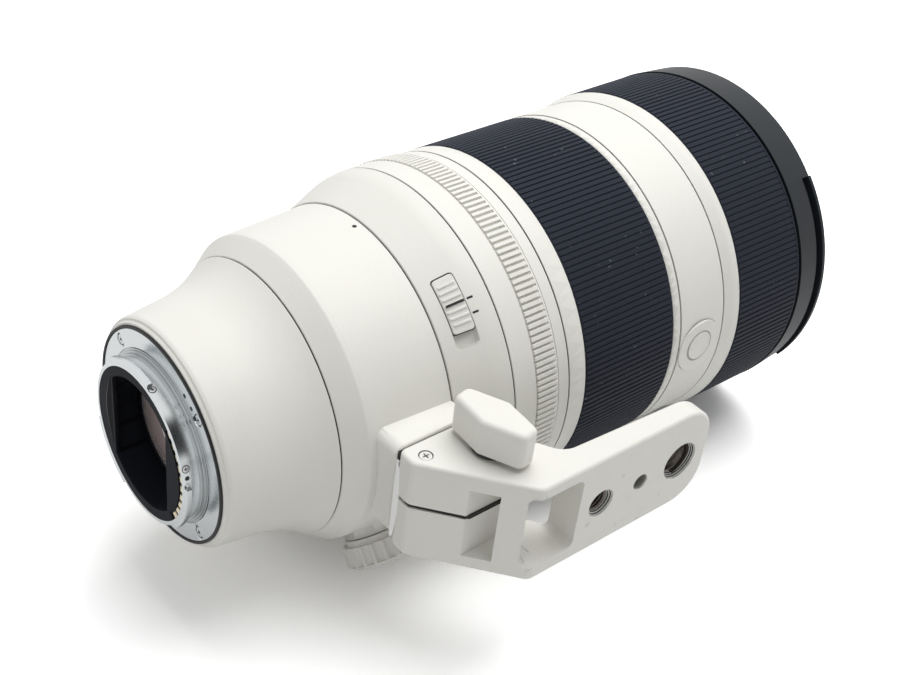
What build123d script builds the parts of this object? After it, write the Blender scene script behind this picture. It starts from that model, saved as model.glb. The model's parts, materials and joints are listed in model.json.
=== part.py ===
from build123d import *
import math
import os

# Camera zoom lens with a rotating tripod collar, lying on its side, in millimetres.
# Origin: the centre of the mount's flange face, on the optical axis.
# +Y runs along the optical axis to the front glass, +X points to the tripod foot, +Z is up.
# Angles are counted round +Y from +X, so 90 degrees is straight down and -90 is straight up.
# The feature that takes the most skill is the zoom cam: helical grooves inside the zoom ring
# drive follower pins through straight slots in the main barrel.

# Clearances
running_gap = 0.05
seat_gap = 0.03
seam_gap = 0.4
slide_gap = 0.15
part_gap = 0.3
overrun = 4.0

# Lengths of the outer sections, from the flange face forward
rear_length = 28.8
collar_length = 30.8
switch_length = 16.0
aperture_length = 19.3
zoom_length = 43.0
button_length = 17.7
focus_length = 32.3
front_length = 12.1
rear_seam = rear_length
collar_seam = rear_seam + collar_length
aperture_rear = collar_seam + switch_length
aperture_front = aperture_rear + aperture_length
zoom_front = aperture_front + zoom_length
button_front = zoom_front + button_length
focus_front = button_front + focus_length
lens_length = focus_front + front_length

# Bearings and bores that the turning rings share
ring_bearing_radius = 45.5
ring_bore = ring_bearing_radius + running_gap
main_wall = 2.2
main_bore = ring_bearing_radius - main_wall
collar_bearing_wall = 2.2
neck_drop = 5.5
neck_radius = ring_bearing_radius - neck_drop
collar_drop = 3.5
collar_bore = neck_radius - collar_drop
collar_bearing_radius = collar_bore - running_gap
neck_wall = 2.2

# Bayonet mount
flange_radius = 28.6
flange_thickness = 2.6
flange_width = 7.9
throat_radius = flange_radius - flange_width
bayonet_wall = 1.1
bayonet_radius = throat_radius + bayonet_wall
bayonet_height = 5.7
lug_height = 1.2
lug_radius = bayonet_radius + lug_height
lug_thickness = 1.5
lug_count = 3
lug_sweep_angle = 48.0
lug_first_angle = -125.0
flange_relief_margin = 0.6
flange_relief_radius = lug_radius + flange_relief_margin
flange_relief_depth = 0.4
gasket_width = 0.6
gasket_height = 1.5
gasket_proud = 0.25
index_hole_radius = 1.0
index_hole_angle = -52.0
index_hole_inset = 3.0
index_hole_circle = flange_radius - index_hole_inset

# Mount screws
mount_screw_inset = 2.4
mount_screw_circle = flange_radius - mount_screw_inset
mount_screw_count = 4
mount_screw_angle = 45.0
mount_head_radius = 1.7
mount_head_height = 0.8
mount_shank_radius = 0.8
mount_screw_length = 4.2

# Electrical contacts
contact_start_angle = -47.0
contact_end_angle = 39.0
contact_block_width = 1.7
contact_block_rear = -5.2
contact_block_front = 3.2
contact_count = 10
contact_pad_length = 1.1
contact_pad_width = 1.5
contact_pad_height = 0.3

# Rear baffle with its flat-sided mask
baffle_plate = 1.2
baffle_recess = 0.1
mask_height_inset = 7.7
mask_half_height = throat_radius - mask_height_inset
baffle_tube_inset = 1.9
baffle_tube_radius = throat_radius - baffle_tube_inset
baffle_tube_wall = 0.8
baffle_tube_end = 8.4

# Rear barrel
barrel_rear_face = 1.2
barrel_shoulder_height = 2.6
barrel_shoulder_radius = flange_radius + barrel_shoulder_height
barrel_edge = 0.9
barrel_waist_height = 4.0
barrel_waist_radius = flange_radius + barrel_waist_height
barrel_waist_at = 13.0
barrel_front_height = 2.0
barrel_front_radius = collar_bore + barrel_front_height
barrel_sag = 0.95
barrel_cavity_margin = 1.0
barrel_cavity_radius = flange_radius + barrel_cavity_margin
barrel_cavity_end = 11.4
ledge_width = 3.8
ledge_radius = flange_radius - ledge_width
ledge_thickness = 2.6

# Rear glass and its cell, and the circuit board
rear_glass_inset = 5.6
rear_glass_radius = throat_radius - rear_glass_inset
rear_glass_edge = 4.0
rear_glass_crown = 2.2
rear_glass_at = 3.4
rear_cell_wall = 2.3
rear_cell_flange = 2.0
board_thickness = 1.2
board_gap = 0.05
board_width = 9.6
board_hole_radius = barrel_cavity_radius - board_width
board_screw_hole_radius = 1.6
chip_height = 1.0
chip_length = 5.0
chip_width = 4.0
chip_count = 5
chip_inset = 4.2
chip_circle = barrel_cavity_radius - chip_inset

# Tripod collar ring, its block and the knob boss
collar_rear_wall = 2.1
collar_rear_radius = collar_bore + collar_rear_wall
collar_edge_wall = 6.2
collar_edge_radius = collar_bore + collar_edge_wall
collar_edge_from_seam = 5.8
collar_front_height = 4.0
collar_front_radius = neck_radius + collar_front_height
collar_edge_rounding = 1.4
block_width = 29.0
block_height = 4.8
block_face = collar_front_radius + block_height
block_rear_from_seam = 7.7
block_corner = 3.2
block_edge = 1.0
boss_radius = 8.6
boss_height = 1.2
boss_face = collar_front_radius + boss_height

# Dovetail rail under the block
rail_plate_thickness = 0.9
rail_plate_width = 28.0
rail_plate_length = 22.6
rail_depth = 3.6
rail_narrow = 15.0
rail_wide = 19.0
rail_length = 22.0
plate_screw_head = 2.5
plate_screw_head_height = 1.5
plate_screw_shank = 1.4
plate_screw_length = 7.0
plate_screw_pitch = 11.0

# Collar lock knob
knob_angle = 48.0
knob_from_seam = 19.2
knob_neck_radius = 8.9
knob_neck_height = 1.6
knob_grip_radius = 10.4
knob_grip_height = 6.4
knob_bevel = 1.0
knob_lobe_count = 20
knob_lobe_radius = 1.35
knob_lobe_bite = 0.75
knob_stem_radius = 2.4
knob_stem_gap = 1.15
knob_screw_radius = 1.2
knob_recess_depth = 0.6

# Switch barrel
switch_rear_step = 0.3
switch_rear_radius = collar_front_radius + switch_rear_step
switch_shoulder_height = 3.5
switch_shoulder_radius = ring_bearing_radius + switch_shoulder_height
switch_shoulder_length = 11.8
switch_front_height = 4.2
switch_front_radius = ring_bearing_radius + switch_front_height
switch_wall = 3.2

# Sliding switches on the switch barrel
slot_start = 3.0
slot_length = 5.9
slot_depth = 1.9
slider_proud = 0.35
slider_rib_height = 0.35
slider_rib_count = 9
click_slot_angle = -58.3
click_slot_sweep = 23.1
click_slider_sweep = 18.7
small_slot_sweep = 14.6
small_slider_sweep = 10.2
focus_mode_angle = 68.0
full_time_angle = 90.0
range_limit_angle = 112.0
iris_lock_angle = 202.0

# Aperture ring
aperture_rear_height = 4.2
aperture_rear_radius = ring_bearing_radius + aperture_rear_height
aperture_front_height = 3.9
aperture_front_radius = ring_bearing_radius + aperture_front_height
knurl_from_seam = 7.4
knurl_length = 7.4
knurl_root_height = 3.7
knurl_root_radius = ring_bearing_radius + knurl_root_height
knurl_depth = 0.8
knurl_crest_radius = knurl_root_radius + knurl_depth
knurl_count = 180
knurl_crest_share = 0.34
knurl_root_share = 0.36

# Zoom ring and its rubber
zoom_rear_band = 5.6
zoom_front_lip = 2.6
zoom_ring_height = 3.9
zoom_ring_radius = ring_bearing_radius + zoom_ring_height
zoom_lip_height = 3.8
zoom_lip_radius = ring_bearing_radius + zoom_lip_height
zoom_seat_drop = 1.2
zoom_seat_radius = zoom_lip_radius - zoom_seat_drop
zoom_rubber_thickness = 1.5
zoom_rubber_radius = zoom_seat_radius + zoom_rubber_thickness
rubber_gap = 0.1

# Fixed barrel with the hold buttons
button_barrel_height = 4.0
button_barrel_radius = ring_bearing_radius + button_barrel_height
button_pad_radius = 8.2
button_pad_proud = 0.3
button_pad_face = button_barrel_radius + button_pad_proud
button_radius = 4.6
button_proud = 0.25
button_flange = 0.9
button_flange_height = 0.8
button_cap_height = 1.9
button_at_share = 0.47
lower_button_angle = -2.4
side_button_angle = 87.6
upper_button_angle = 177.6

# Focus ring and its rubber
focus_rear_height = 4.1
focus_rear_radius = ring_bearing_radius + focus_rear_height
focus_shoulder_rise = 1.4
focus_shoulder_radius = focus_rear_radius + focus_shoulder_rise
focus_rear_band = 4.8
focus_seat_drop = 1.3
focus_seat_radius = focus_shoulder_radius - focus_seat_drop
focus_rubber_rear_thickness = 1.5
focus_rubber_rear_radius = focus_seat_radius + focus_rubber_rear_thickness
focus_rubber_front_thickness = 1.7
focus_rubber_front_radius = focus_seat_radius + focus_rubber_front_thickness

# Front barrel with the hood bayonet and the filter thread
front_rear_height = 5.9
front_rear_radius = ring_bearing_radius + front_rear_height
front_taper = 0.9
front_edge_radius = front_rear_radius - front_taper
hood_lip_height = 0.8
hood_lip_radius = front_edge_radius + hood_lip_height
hood_lip_thickness = 1.7
hood_groove_width = 2.3
hood_groove_depth = 1.6
hood_groove_radius = front_edge_radius - hood_groove_depth
hood_lug_count = 2
hood_lug_angle = -44.6
hood_lug_sweep = 76.0
filter_wall = 1.4
filter_radius = hood_groove_radius - filter_wall
filter_depth = 4.8
front_seat_step = 1.1
front_seat_radius = filter_radius - front_seat_step
front_chamfer = 0.5

# Front glass, its cell and its retaining ring
front_cell_wall = 1.7
front_glass_radius = main_bore - front_cell_wall
front_glass_edge = 5.0
front_glass_crown = 5.4
front_glass_hollow = 3.0
front_glass_back = 10.0
front_cell_length = 16.0
front_cell_seat = 2.2
retainer_thickness = 3.6
retainer_width = 4.0
retainer_inner_radius = front_seat_radius - retainer_width
retainer_slope = 1.2

# Main barrel
main_front_recess = 9.4
main_spigot_length = 11.6
main_spigot_wall = 2.4
rod_flange_thickness = 2.2
rod_flange_width = 9.3
rod_flange_radius = main_bore - rod_flange_width

# Zoom cells, their glass and the cam that drives them
zoom_turn_angle = 60.0
zoom_front_travel = 14.0
zoom_rear_travel = 7.0
zoom_front_pin_at = 17.0
zoom_rear_pin_at = 4.6
follower_count = 3
follower_radius = 1.5
follower_reach = 1.4
follower_clearance = 0.12
follower_root = 3.0
cam_groove_depth = 1.6
cam_run_count = 6
zoom_cell_length = 7.0
zoom_glass_edge = 5.6
zoom_glass_hollow = 1.8
zoom_front_cell_wall = 10.3
zoom_front_glass_radius = main_bore - zoom_front_cell_wall
zoom_rear_cell_wall = 13.3
zoom_rear_glass_radius = main_bore - zoom_rear_cell_wall

# Focus cells, guide rods and linear motors
rod_radius = 1.25
rod_inset = 5.9
rod_circle = main_bore - rod_inset
rod_count = 2
rod_angle = 30.0
focus_cell_margin = 2.1
focus_cell_radius = main_bore - focus_cell_margin
focus_cell_length = 5.0
focus_front_cell_at = 24.0
focus_rear_cell_at = 9.0
focus_cell_wall = 8.2
focus_glass_radius = focus_cell_radius - focus_cell_wall
focus_glass_edge = 3.6
focus_glass_crown = 1.2
motor_thickness = 1.5
motor_sweep = 26.0
motor_count = 4
motor_first_angle = 62.0
motor_length = 30.0

# Relay glass behind the zoom cells
relay_cell_wall = 12.0
relay_glass_radius = neck_radius - relay_cell_wall
relay_glass_edge = 5.0
relay_glass_crown = 2.6
relay_cell_length = 7.6
relay_cell_from_seam = 1.0

# Iris
iris_length = 5.6
iris_ring_width = 17.3
iris_opening_radius = main_bore - iris_ring_width
iris_wall = 1.0
iris_from_seam = 3.2
blade_count = 11
blade_thickness = 0.16
blade_pitch = 0.28
blade_width = 6.0
blade_sweep = 52.0

# Tripod foot: stations counted from its rear end, heights from its jaw face under the block
foot_width = 30.8
foot_overhang = 0.5
foot_top_gap = 0.15
foot_rear = rear_seam + block_rear_from_seam - foot_overhang
jaw_face = block_face + rail_plate_thickness + foot_top_gap
foot_heel_height = 5.75
foot_height = 30.15
foot_heel_length = 20.5
foot_length = 81.0
foot_front_corner = 10.0
foot_thickness_rear = 8.2
foot_thickness_front = 5.9
foot_jaw_length = 24.4
foot_leg_length = 28.6
foot_bend_height = 12.15
foot_inner_fillet = 6.0
foot_edge = 1.1
foot_heel_fillet = 3.0
foot_jaw_fillet = 2.2
foot_heel = jaw_face + foot_heel_height
foot_face = jaw_face + foot_height
foot_toe_start = foot_rear + foot_heel_length
foot_front = foot_rear + foot_length
foot_leg_front = foot_rear + foot_jaw_length
foot_leg_lower = foot_rear + foot_leg_length
foot_leg_bend = jaw_face + foot_bend_height

# Window, pocket and clamp slit of the foot
window_start = 18.4
window_length = 16.1
window_deep_start = 24.2
window_low = -11.0
window_high = 12.0
window_height = 9.65
window_corner = 2.2
pocket_start = 9.2
pocket_length = 5.0
pocket_low = -11.2
pocket_high = 10.6
bridge_thickness = 3.5
slit_width = 1.2
slit_offset = 1.6
slit_height = 18.15
window_rear = foot_rear + window_start
window_front = window_rear + window_length
window_deep = foot_rear + window_deep_start
window_roof = jaw_face + window_height
pocket_rear = foot_rear + pocket_start
pocket_front = pocket_rear + pocket_length
slit_floor = jaw_face + slit_height

# Threaded bushes and the plain hole in the foot's plate
small_thread_radius = 3.175
small_thread_from_rear = 42.3
small_insert_depth = 6.0
large_thread_radius = 4.763
large_thread_from_rear = 70.9
large_insert_depth = 5.2
pin_hole_radius = 2.4
pin_hole_from_rear = 56.3
pin_hole_depth = 4.2
insert_wall = 0.95
insert_recess = 0.35
small_thread_at = foot_rear + small_thread_from_rear
large_thread_at = foot_rear + large_thread_from_rear
pin_hole_at = foot_rear + pin_hole_from_rear

# Screw in the side of the jaw
side_screw_drop = 5.15
side_screw_from_rear = 4.6
side_screw_radius = 1.85
side_screw_height = 0.9
side_screw_shank = 1.1
side_screw_length = 6.0
side_screw_recess = 0.25
side_screw_x = jaw_face + side_screw_drop
side_screw_at = foot_rear + side_screw_from_rear

# Clamp lever and its bolt
lever_drop = 11.55
lever_from_rear = 19.6
lever_rest_angle = 11.0
lever_length = 22.0
lever_width = 11.2
lever_tip_width = 5.4
lever_height = 9.8
lever_corner = 2.0
lever_bevel = 1.5
lever_gap = 1.4
hub_radius = 4.9
bolt_radius = 2.4
bolt_nut_radius = 4.0
bolt_nut_height = 2.6
lever_x = jaw_face + lever_drop
lever_at = foot_rear + lever_from_rear

# Angles that hold for every size
full_turn = 360.0
right_angle = 90.0


def turned(*outline):
    """Solid turned about the optical axis from its closed outline of (radius, station) points."""
    return revolve(make_face(Polyline(*outline, close=True)), Axis.Y)


def turned_edges(*edges):
    """Solid turned about the optical axis from connected edges in the radius and station plane."""
    return revolve(make_face(Curve() + list(edges)), Axis.Y)


def sector(outline, start_angle, sweep_angle):
    """Part of a turned solid, from start_angle over sweep_angle."""
    solid = revolve(make_face(Polyline(*outline, close=True)), Axis.Y, sweep_angle)
    return Rot(0, start_angle, 0) * solid


def tube(inner, outer, rear, front):
    """Plain tube between two radii and two stations."""
    return turned((inner, rear), (outer, rear), (outer, front), (inner, front))


def around(shape, angle):
    """The shape turned about the optical axis."""
    return Rot(0, angle, 0) * shape


def radial_rod(radius, inner, outer, station):
    """Cylinder along +X at a station, between two distances from the optical axis."""
    return Pos((inner + outer) / 2, station, 0) * Rot(0, right_angle, 0) * Cylinder(radius, outer - inner)


def axial_rod(radius, circle, rear, front):
    """Cylinder along the optical axis at a distance +X from it."""
    return Pos(circle, (rear + front) / 2, 0) * Rot(right_angle, 0, 0) * Cylinder(radius, front - rear)


def cross_rod(radius, x, station, low, high):
    """Cylinder along Z at a place in the X and Y plane."""
    return Pos(x, station, (low + high) / 2) * Cylinder(radius, high - low)


def block(x_low, x_high, rear, front, z_low, z_high):
    """Box between its six faces."""
    place = Pos((x_low + x_high) / 2, (rear + front) / 2, (z_low + z_high) / 2)
    return place * Box(x_high - x_low, front - rear, z_high - z_low)


def lens_outline(radius, rear, front, rear_bulge, front_bulge):
    """Turned glass between two edge stations, each face bulging out of the edge by its own amount."""
    rear_arc = ThreePointArc((0, rear - rear_bulge), *arc_middle(radius, rear, -rear_bulge))
    front_arc = ThreePointArc((0, front + front_bulge), *arc_middle(radius, front, front_bulge))
    rim = Line((radius, rear), (radius, front))
    axis = Line((0, rear - rear_bulge), (0, front + front_bulge))
    return revolve(make_face(Curve() + [rear_arc, rim, front_arc, axis]), Axis.Y)


def arc_middle(radius, edge, bulge):
    """Middle and end of the quarter outline of a glass face, on its own sphere."""
    curve = (radius ** 2 + bulge ** 2) / (2 * abs(bulge))
    middle = radius / 2
    drop = curve - math.sqrt(curve ** 2 - middle ** 2)
    side = math.copysign(1, bulge)
    return (middle, edge + bulge - side * drop), (radius, edge)


def save(node, *solids):
    """Write one node, a single solid or a group of separate ones, to its STEP file."""
    whole = solids[0] if len(solids) == 1 else Compound(children=list(solids))
    export_step(whole, f"parts/{node}.step")


def spread(shape, count, first_angle=0):
    """Copies of a shape evenly spaced round the optical axis."""
    return [around(shape, first_angle + full_turn * step / count) for step in range(count)]


def make_bayonet_mount():
    """Metal flange with the bayonet barrel, its lugs and the screw seats."""
    flange = turned(
        (throat_radius, -bayonet_height), (bayonet_radius, -bayonet_height),
        (bayonet_radius, flange_relief_depth), (flange_relief_radius, flange_relief_depth),
        (flange_relief_radius, 0), (flange_radius, 0), (flange_radius, flange_thickness),
        (throat_radius, flange_thickness))
    lug = ((bayonet_radius - seam_gap, -bayonet_height), (lug_radius, -bayonet_height),
           (lug_radius, lug_thickness - bayonet_height),
           (bayonet_radius - seam_gap, lug_thickness - bayonet_height))
    for step in range(lug_count):
        flange += sector(lug, lug_first_angle + full_turn * step / lug_count, lug_sweep_angle)
    seat = axial_rod(mount_head_radius + seat_gap, mount_screw_circle, -overrun, mount_head_height)
    hole = axial_rod(mount_shank_radius + seat_gap, mount_screw_circle, -overrun, flange_thickness + overrun)
    for cut in spread(seat + hole, mount_screw_count, mount_screw_angle):
        flange -= cut
    index = axial_rod(index_hole_radius, index_hole_circle, -overrun, flange_thickness / 2)
    flange -= around(index, index_hole_angle)
    save("bayonet_mount", flange)


def make_gasket():
    """Rubber ring that seals the flange's rim."""
    inner = flange_radius + seat_gap
    save("mount_gasket", tube(inner, inner + gasket_width, -gasket_proud, gasket_height - gasket_proud))


def make_mount_screws():
    """Countersunk screws that hold the flange to the rear barrel."""
    recess = mount_head_height / 4
    head = axial_rod(mount_head_radius, mount_screw_circle, recess, mount_head_height)
    shank = axial_rod(mount_shank_radius, mount_screw_circle, recess, recess + mount_screw_length)
    save("mount_screws", *spread(head + shank, mount_screw_count, mount_screw_angle))


def make_contacts():
    """Insulating block in the throat and its row of contact pads."""
    outer = throat_radius - seat_gap
    inner = outer - contact_block_width
    sweep_angle = contact_end_angle - contact_start_angle
    outline = ((inner, contact_block_rear), (outer, contact_block_rear), (outer, contact_block_front),
               (inner, contact_block_front))
    body = sector(outline, contact_start_angle, sweep_angle)
    middle = (inner + outer) / 2
    pad = block(middle - contact_pad_length / 2, middle + contact_pad_length / 2,
                contact_block_rear - contact_pad_height / 2, contact_block_rear + contact_pad_height / 2,
                -contact_pad_width / 2, contact_pad_width / 2)
    pads = []
    for step in range(contact_count):
        share = (step + 1 / 2) / contact_count
        pads.append(around(pad, contact_start_angle + sweep_angle * share))
    for piece in pads:
        body -= piece
    save("contact_block", body)
    save("contact_pads", *pads)


def make_rear_baffle():
    """Black light mask in the throat: a plate with a flat-sided round opening, and a short tube."""
    rear = baffle_recess - bayonet_height
    outer = throat_radius - seat_gap
    inner = baffle_tube_radius - baffle_tube_wall
    opening = tube(0, inner, rear - overrun, rear + overrun)
    opening &= block(-mask_half_height, mask_half_height, rear - overrun, rear + overrun, -inner, inner)
    plate = tube(0, outer, rear, rear + baffle_plate) - opening
    notch = ((baffle_tube_radius + slide_gap, rear - overrun), (outer + overrun, rear - overrun),
             (outer + overrun, rear + overrun), (baffle_tube_radius + slide_gap, rear + overrun))
    plate -= sector(notch, contact_start_angle, contact_end_angle - contact_start_angle)
    plate += tube(inner, baffle_tube_radius, rear + baffle_plate / 2, baffle_tube_end)
    save("rear_baffle", plate)


def make_rear_barrel():
    """Painted rear housing, with the ledge for the flange and the bearing tube under the collar."""
    front = rear_seam - seam_gap / 2
    shoulder = barrel_rear_face + barrel_edge
    seat = flange_thickness + seat_gap
    flange_bore = flange_radius + seat_gap
    bearing_inner = collar_bearing_radius - collar_bearing_wall
    chord_radius = (barrel_waist_radius + barrel_front_radius) / 2
    chord_at = (barrel_waist_at + front) / 2
    curve = ThreePointArc(
        (barrel_waist_radius, barrel_waist_at), (chord_radius - barrel_sag, chord_at + barrel_sag / 2),
        (barrel_front_radius, front))
    outline = Polyline(
        (barrel_front_radius, front), (collar_bearing_radius, front),
        (collar_bearing_radius, collar_seam - seam_gap / 2), (bearing_inner, collar_seam - seam_gap / 2),
        (bearing_inner, rear_seam), (barrel_cavity_radius, barrel_cavity_end),
        (barrel_cavity_radius, seat + ledge_thickness), (ledge_radius, seat + ledge_thickness),
        (ledge_radius, seat), (flange_bore, seat), (flange_bore, gasket_height),
        (flange_bore + gasket_width + seat_gap, gasket_height),
        (flange_bore + gasket_width + seat_gap, barrel_rear_face),
        (barrel_shoulder_radius - barrel_edge, barrel_rear_face), (barrel_shoulder_radius, shoulder),
        (barrel_waist_radius, barrel_waist_at))
    body = turned_edges(curve, outline)
    hole = axial_rod(mount_shank_radius + seat_gap, mount_screw_circle, 0, seat + ledge_thickness + overrun)
    for cut in spread(hole, mount_screw_count, mount_screw_angle):
        body -= cut
    save("rear_barrel", body)


def make_rear_optics():
    """Rear glass in its cell, and the ring-shaped circuit board behind the flange."""
    glass_front = rear_glass_at + rear_glass_edge
    glass = lens_outline(rear_glass_radius, rear_glass_at, glass_front, rear_glass_crown, rear_glass_crown)
    inner = rear_glass_radius + seat_gap
    outer = inner + rear_cell_wall
    flange_front = barrel_cavity_end - seat_gap
    flange_rear = flange_front - rear_cell_flange
    cell = tube(inner, outer, rear_glass_at, flange_front)
    cell += tube(outer - rear_cell_wall / 2, barrel_cavity_radius - seat_gap, flange_rear, flange_front)
    save("rear_element", glass)
    save("rear_cell", cell)
    seat = flange_thickness + seat_gap + ledge_thickness + board_gap
    board = tube(board_hole_radius, barrel_cavity_radius - seat_gap, seat, seat + board_thickness)
    for step in range(mount_screw_count):
        hole = axial_rod(board_screw_hole_radius, mount_screw_circle, 0, seat + overrun)
        board -= around(hole, mount_screw_angle + full_turn * step / mount_screw_count)
    chip = block(chip_circle - chip_width / 2, chip_circle + chip_width / 2, seat + board_thickness / 2,
                 seat + board_thickness + chip_height, -chip_length / 2, chip_length / 2)
    for piece in spread(chip, chip_count):
        board += piece
    save("circuit_board", board)


def make_main_barrel():
    """Metal tube that carries every ring, with straight slots for the cam followers."""
    rear = collar_seam + seam_gap / 2
    step_at = aperture_rear + seam_gap / 2
    front = lens_length - main_front_recess
    spigot = collar_bearing_radius - collar_bearing_wall - seat_gap
    spigot_inner = spigot - main_spigot_wall
    spigot_rear = rear - main_spigot_length
    neck_inner = neck_radius - neck_wall
    body = turned(
        (spigot_inner, spigot_rear), (spigot, spigot_rear), (spigot, rear), (neck_radius, rear),
        (neck_radius, step_at), (ring_bearing_radius, step_at), (ring_bearing_radius, front),
        (main_bore, front), (main_bore, step_at + neck_wall), (neck_inner, step_at - neck_wall),
        (neck_inner, rear + neck_wall), (spigot_inner, rear + neck_wall))
    rod_flange = zoom_front + seam_gap
    body += tube(rod_flange_radius, (main_bore + ring_bearing_radius) / 2, rod_flange,
                 rod_flange + rod_flange_thickness)
    hole = axial_rod(rod_radius + seat_gap, rod_circle, rod_flange - overrun,
                     rod_flange + rod_flange_thickness + overrun)
    for cut in spread(hole, rod_count, rod_angle):
        body -= cut
    for pin_at, travel, first_angle in follower_sets():
        for cut in spread(follower_slot(pin_at, travel), follower_count, first_angle):
            body -= cut
    save("main_barrel", body)


def follower_sets():
    """Station, travel and first angle of the followers of each zoom cell."""
    half_pitch = full_turn / follower_count / 2
    return ((aperture_front + zoom_front_pin_at, zoom_front_travel, 0),
            (aperture_front + zoom_rear_pin_at, zoom_rear_travel, half_pitch))


def follower_slot(pin_at, travel):
    """Straight slot through the main barrel, round at both ends."""
    width = follower_radius + follower_clearance
    inner = main_bore - overrun / 2
    outer = ring_bearing_radius + overrun / 2
    slot = radial_rod(width, inner, outer, pin_at) + radial_rod(width, inner, outer, pin_at + travel)
    return slot + block(inner, outer, pin_at, pin_at + travel, -width, width)


def cam_groove(pin_at, travel):
    """Helical groove inside the zoom ring, in short straight runs between round corners."""
    width = follower_radius + follower_clearance
    inner = ring_bore - seam_gap
    outer = ring_bore + cam_groove_depth
    middle = (inner + outer) / 2
    turn = zoom_turn_angle / cam_run_count
    rise = travel / cam_run_count
    run = 2 * middle * math.sin(math.radians(turn / 2))
    tilt = math.degrees(math.atan2(rise, run))
    bar = Box(outer - inner, 2 * width, math.hypot(run, rise))
    groove = radial_rod(width, inner, outer, pin_at)
    for step in range(cam_run_count):
        share = step + 1 / 2
        groove += around(Pos(middle, pin_at + rise * share, 0) * Rot(-tilt, 0, 0) * bar, -turn * share)
        corner = radial_rod(width, inner, outer, pin_at + rise * (step + 1))
        groove += around(corner, -turn * (step + 1))
    return groove


def make_zoom_ring():
    """Zoom ring with its painted ends and the helical cam grooves, and the rubber between them."""
    rear = aperture_front + seam_gap / 2
    front = zoom_front - seam_gap / 2
    rubber_rear = rear + zoom_rear_band
    rubber_front = front - zoom_front_lip
    ring = turned(
        (ring_bore, rear), (zoom_ring_radius, rear), (zoom_ring_radius, rubber_rear),
        (zoom_seat_radius, rubber_rear), (zoom_seat_radius, rubber_front), (zoom_lip_radius, rubber_front),
        (zoom_lip_radius, front), (ring_bore, front))
    for pin_at, travel, first_angle in follower_sets():
        for cut in spread(cam_groove(pin_at, travel), follower_count, first_angle):
            ring -= cut
    save("zoom_ring", ring)
    save("zoom_rubber", tube(zoom_seat_radius + seat_gap, zoom_rubber_radius, rubber_rear + rubber_gap,
                             rubber_front - rubber_gap))


def make_zoom_cell(node, pin_at, glass_radius, first_angle):
    """One moving lens cell, its glass and its three follower pins."""
    rear = pin_at - zoom_cell_length / 2
    front = pin_at + zoom_cell_length / 2
    outer = main_bore - running_gap
    cell = tube(glass_radius + seat_gap, outer, rear, front)
    root = radial_rod(follower_radius + seat_gap, outer - follower_root, outer + overrun, pin_at)
    for cut in spread(root, follower_count, first_angle):
        cell -= cut
    pin = radial_rod(follower_radius, outer - follower_root + seat_gap, ring_bore + follower_reach, pin_at)
    edge_rear = pin_at - zoom_glass_edge / 2
    edge_front = pin_at + zoom_glass_edge / 2
    glass = lens_outline(glass_radius, edge_rear, edge_front, -zoom_glass_hollow, -zoom_glass_hollow)
    save(f"{node}_cell", cell)
    save(f"{node}_element", glass)
    save(f"{node}_followers", *spread(pin, follower_count, first_angle))


def make_zoom_cells():
    """Both zoom cells."""
    front_set, rear_set = follower_sets()
    make_zoom_cell("zoom_front", front_set[0], zoom_front_glass_radius, front_set[2])
    make_zoom_cell("zoom_rear", rear_set[0], zoom_rear_glass_radius, rear_set[2])


def make_focus_cell(node, station):
    """One focusing lens cell that rides on the guide rods, and its glass."""
    front = station + focus_cell_length
    cell = tube(focus_glass_radius + seat_gap, focus_cell_radius, station, front)
    hole = axial_rod(rod_radius + running_gap, rod_circle, station - overrun, front + overrun)
    for cut in spread(hole, rod_count, rod_angle):
        cell -= cut
    middle = (station + front) / 2
    glass = lens_outline(focus_glass_radius, middle - focus_glass_edge / 2, middle + focus_glass_edge / 2,
                         focus_glass_crown, focus_glass_crown)
    save(f"{node}_cell", cell)
    save(f"{node}_element", glass)


def make_focus_drive():
    """Focusing cells, the rods that guide them and the linear motors beside them."""
    make_focus_cell("focus_front", zoom_front + focus_front_cell_at)
    make_focus_cell("focus_rear", zoom_front + focus_rear_cell_at)
    rod = axial_rod(rod_radius, rod_circle, zoom_front + seam_gap, front_cell_rear() + front_cell_seat)
    save("guide_rods", *spread(rod, rod_count, rod_angle))
    outer = main_bore - seat_gap
    rear = zoom_front + seam_gap + rod_flange_thickness + part_gap
    outline = ((outer - motor_thickness, rear), (outer, rear), (outer, rear + motor_length),
               (outer - motor_thickness, rear + motor_length))
    bars = []
    for step in range(motor_count):
        bars.append(sector(outline, motor_first_angle + full_turn * step / motor_count, motor_sweep))
    save("focus_motors", *bars)


def make_relay():
    """Fixed relay glass in the neck of the main barrel."""
    rear = collar_seam + seam_gap / 2 + neck_wall + relay_cell_from_seam
    front = rear + relay_cell_length
    cell = tube(relay_glass_radius + seat_gap, neck_radius - neck_wall - seat_gap, rear, front)
    middle = (rear + front) / 2
    glass = lens_outline(relay_glass_radius, middle - relay_glass_edge / 2, middle + relay_glass_edge / 2,
                         relay_glass_crown, relay_glass_crown)
    save("relay_cell", cell)
    save("relay_element", glass)


def make_iris():
    """Iris housing and its blades, all open, each in its own layer."""
    rear = aperture_rear + iris_from_seam
    front = rear + iris_length
    outer = main_bore - seat_gap
    housing = turned(
        (iris_opening_radius, rear), (outer, rear), (outer, front), (iris_opening_radius, front),
        (iris_opening_radius, front - iris_wall), (outer - iris_wall, front - iris_wall),
        (outer - iris_wall, rear + iris_wall), (iris_opening_radius, rear + iris_wall))
    save("iris_housing", housing)
    inner = iris_opening_radius + blade_thickness
    blades = []
    for step in range(blade_count):
        low = rear + iris_wall + blade_pitch * (step + 1 / 2)
        outline = ((inner, low), (inner + blade_width, low), (inner + blade_width, low + blade_thickness),
                   (inner, low + blade_thickness))
        blades.append(sector(outline, full_turn * step / blade_count, blade_sweep))
    save("iris_blades", *blades)


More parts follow.
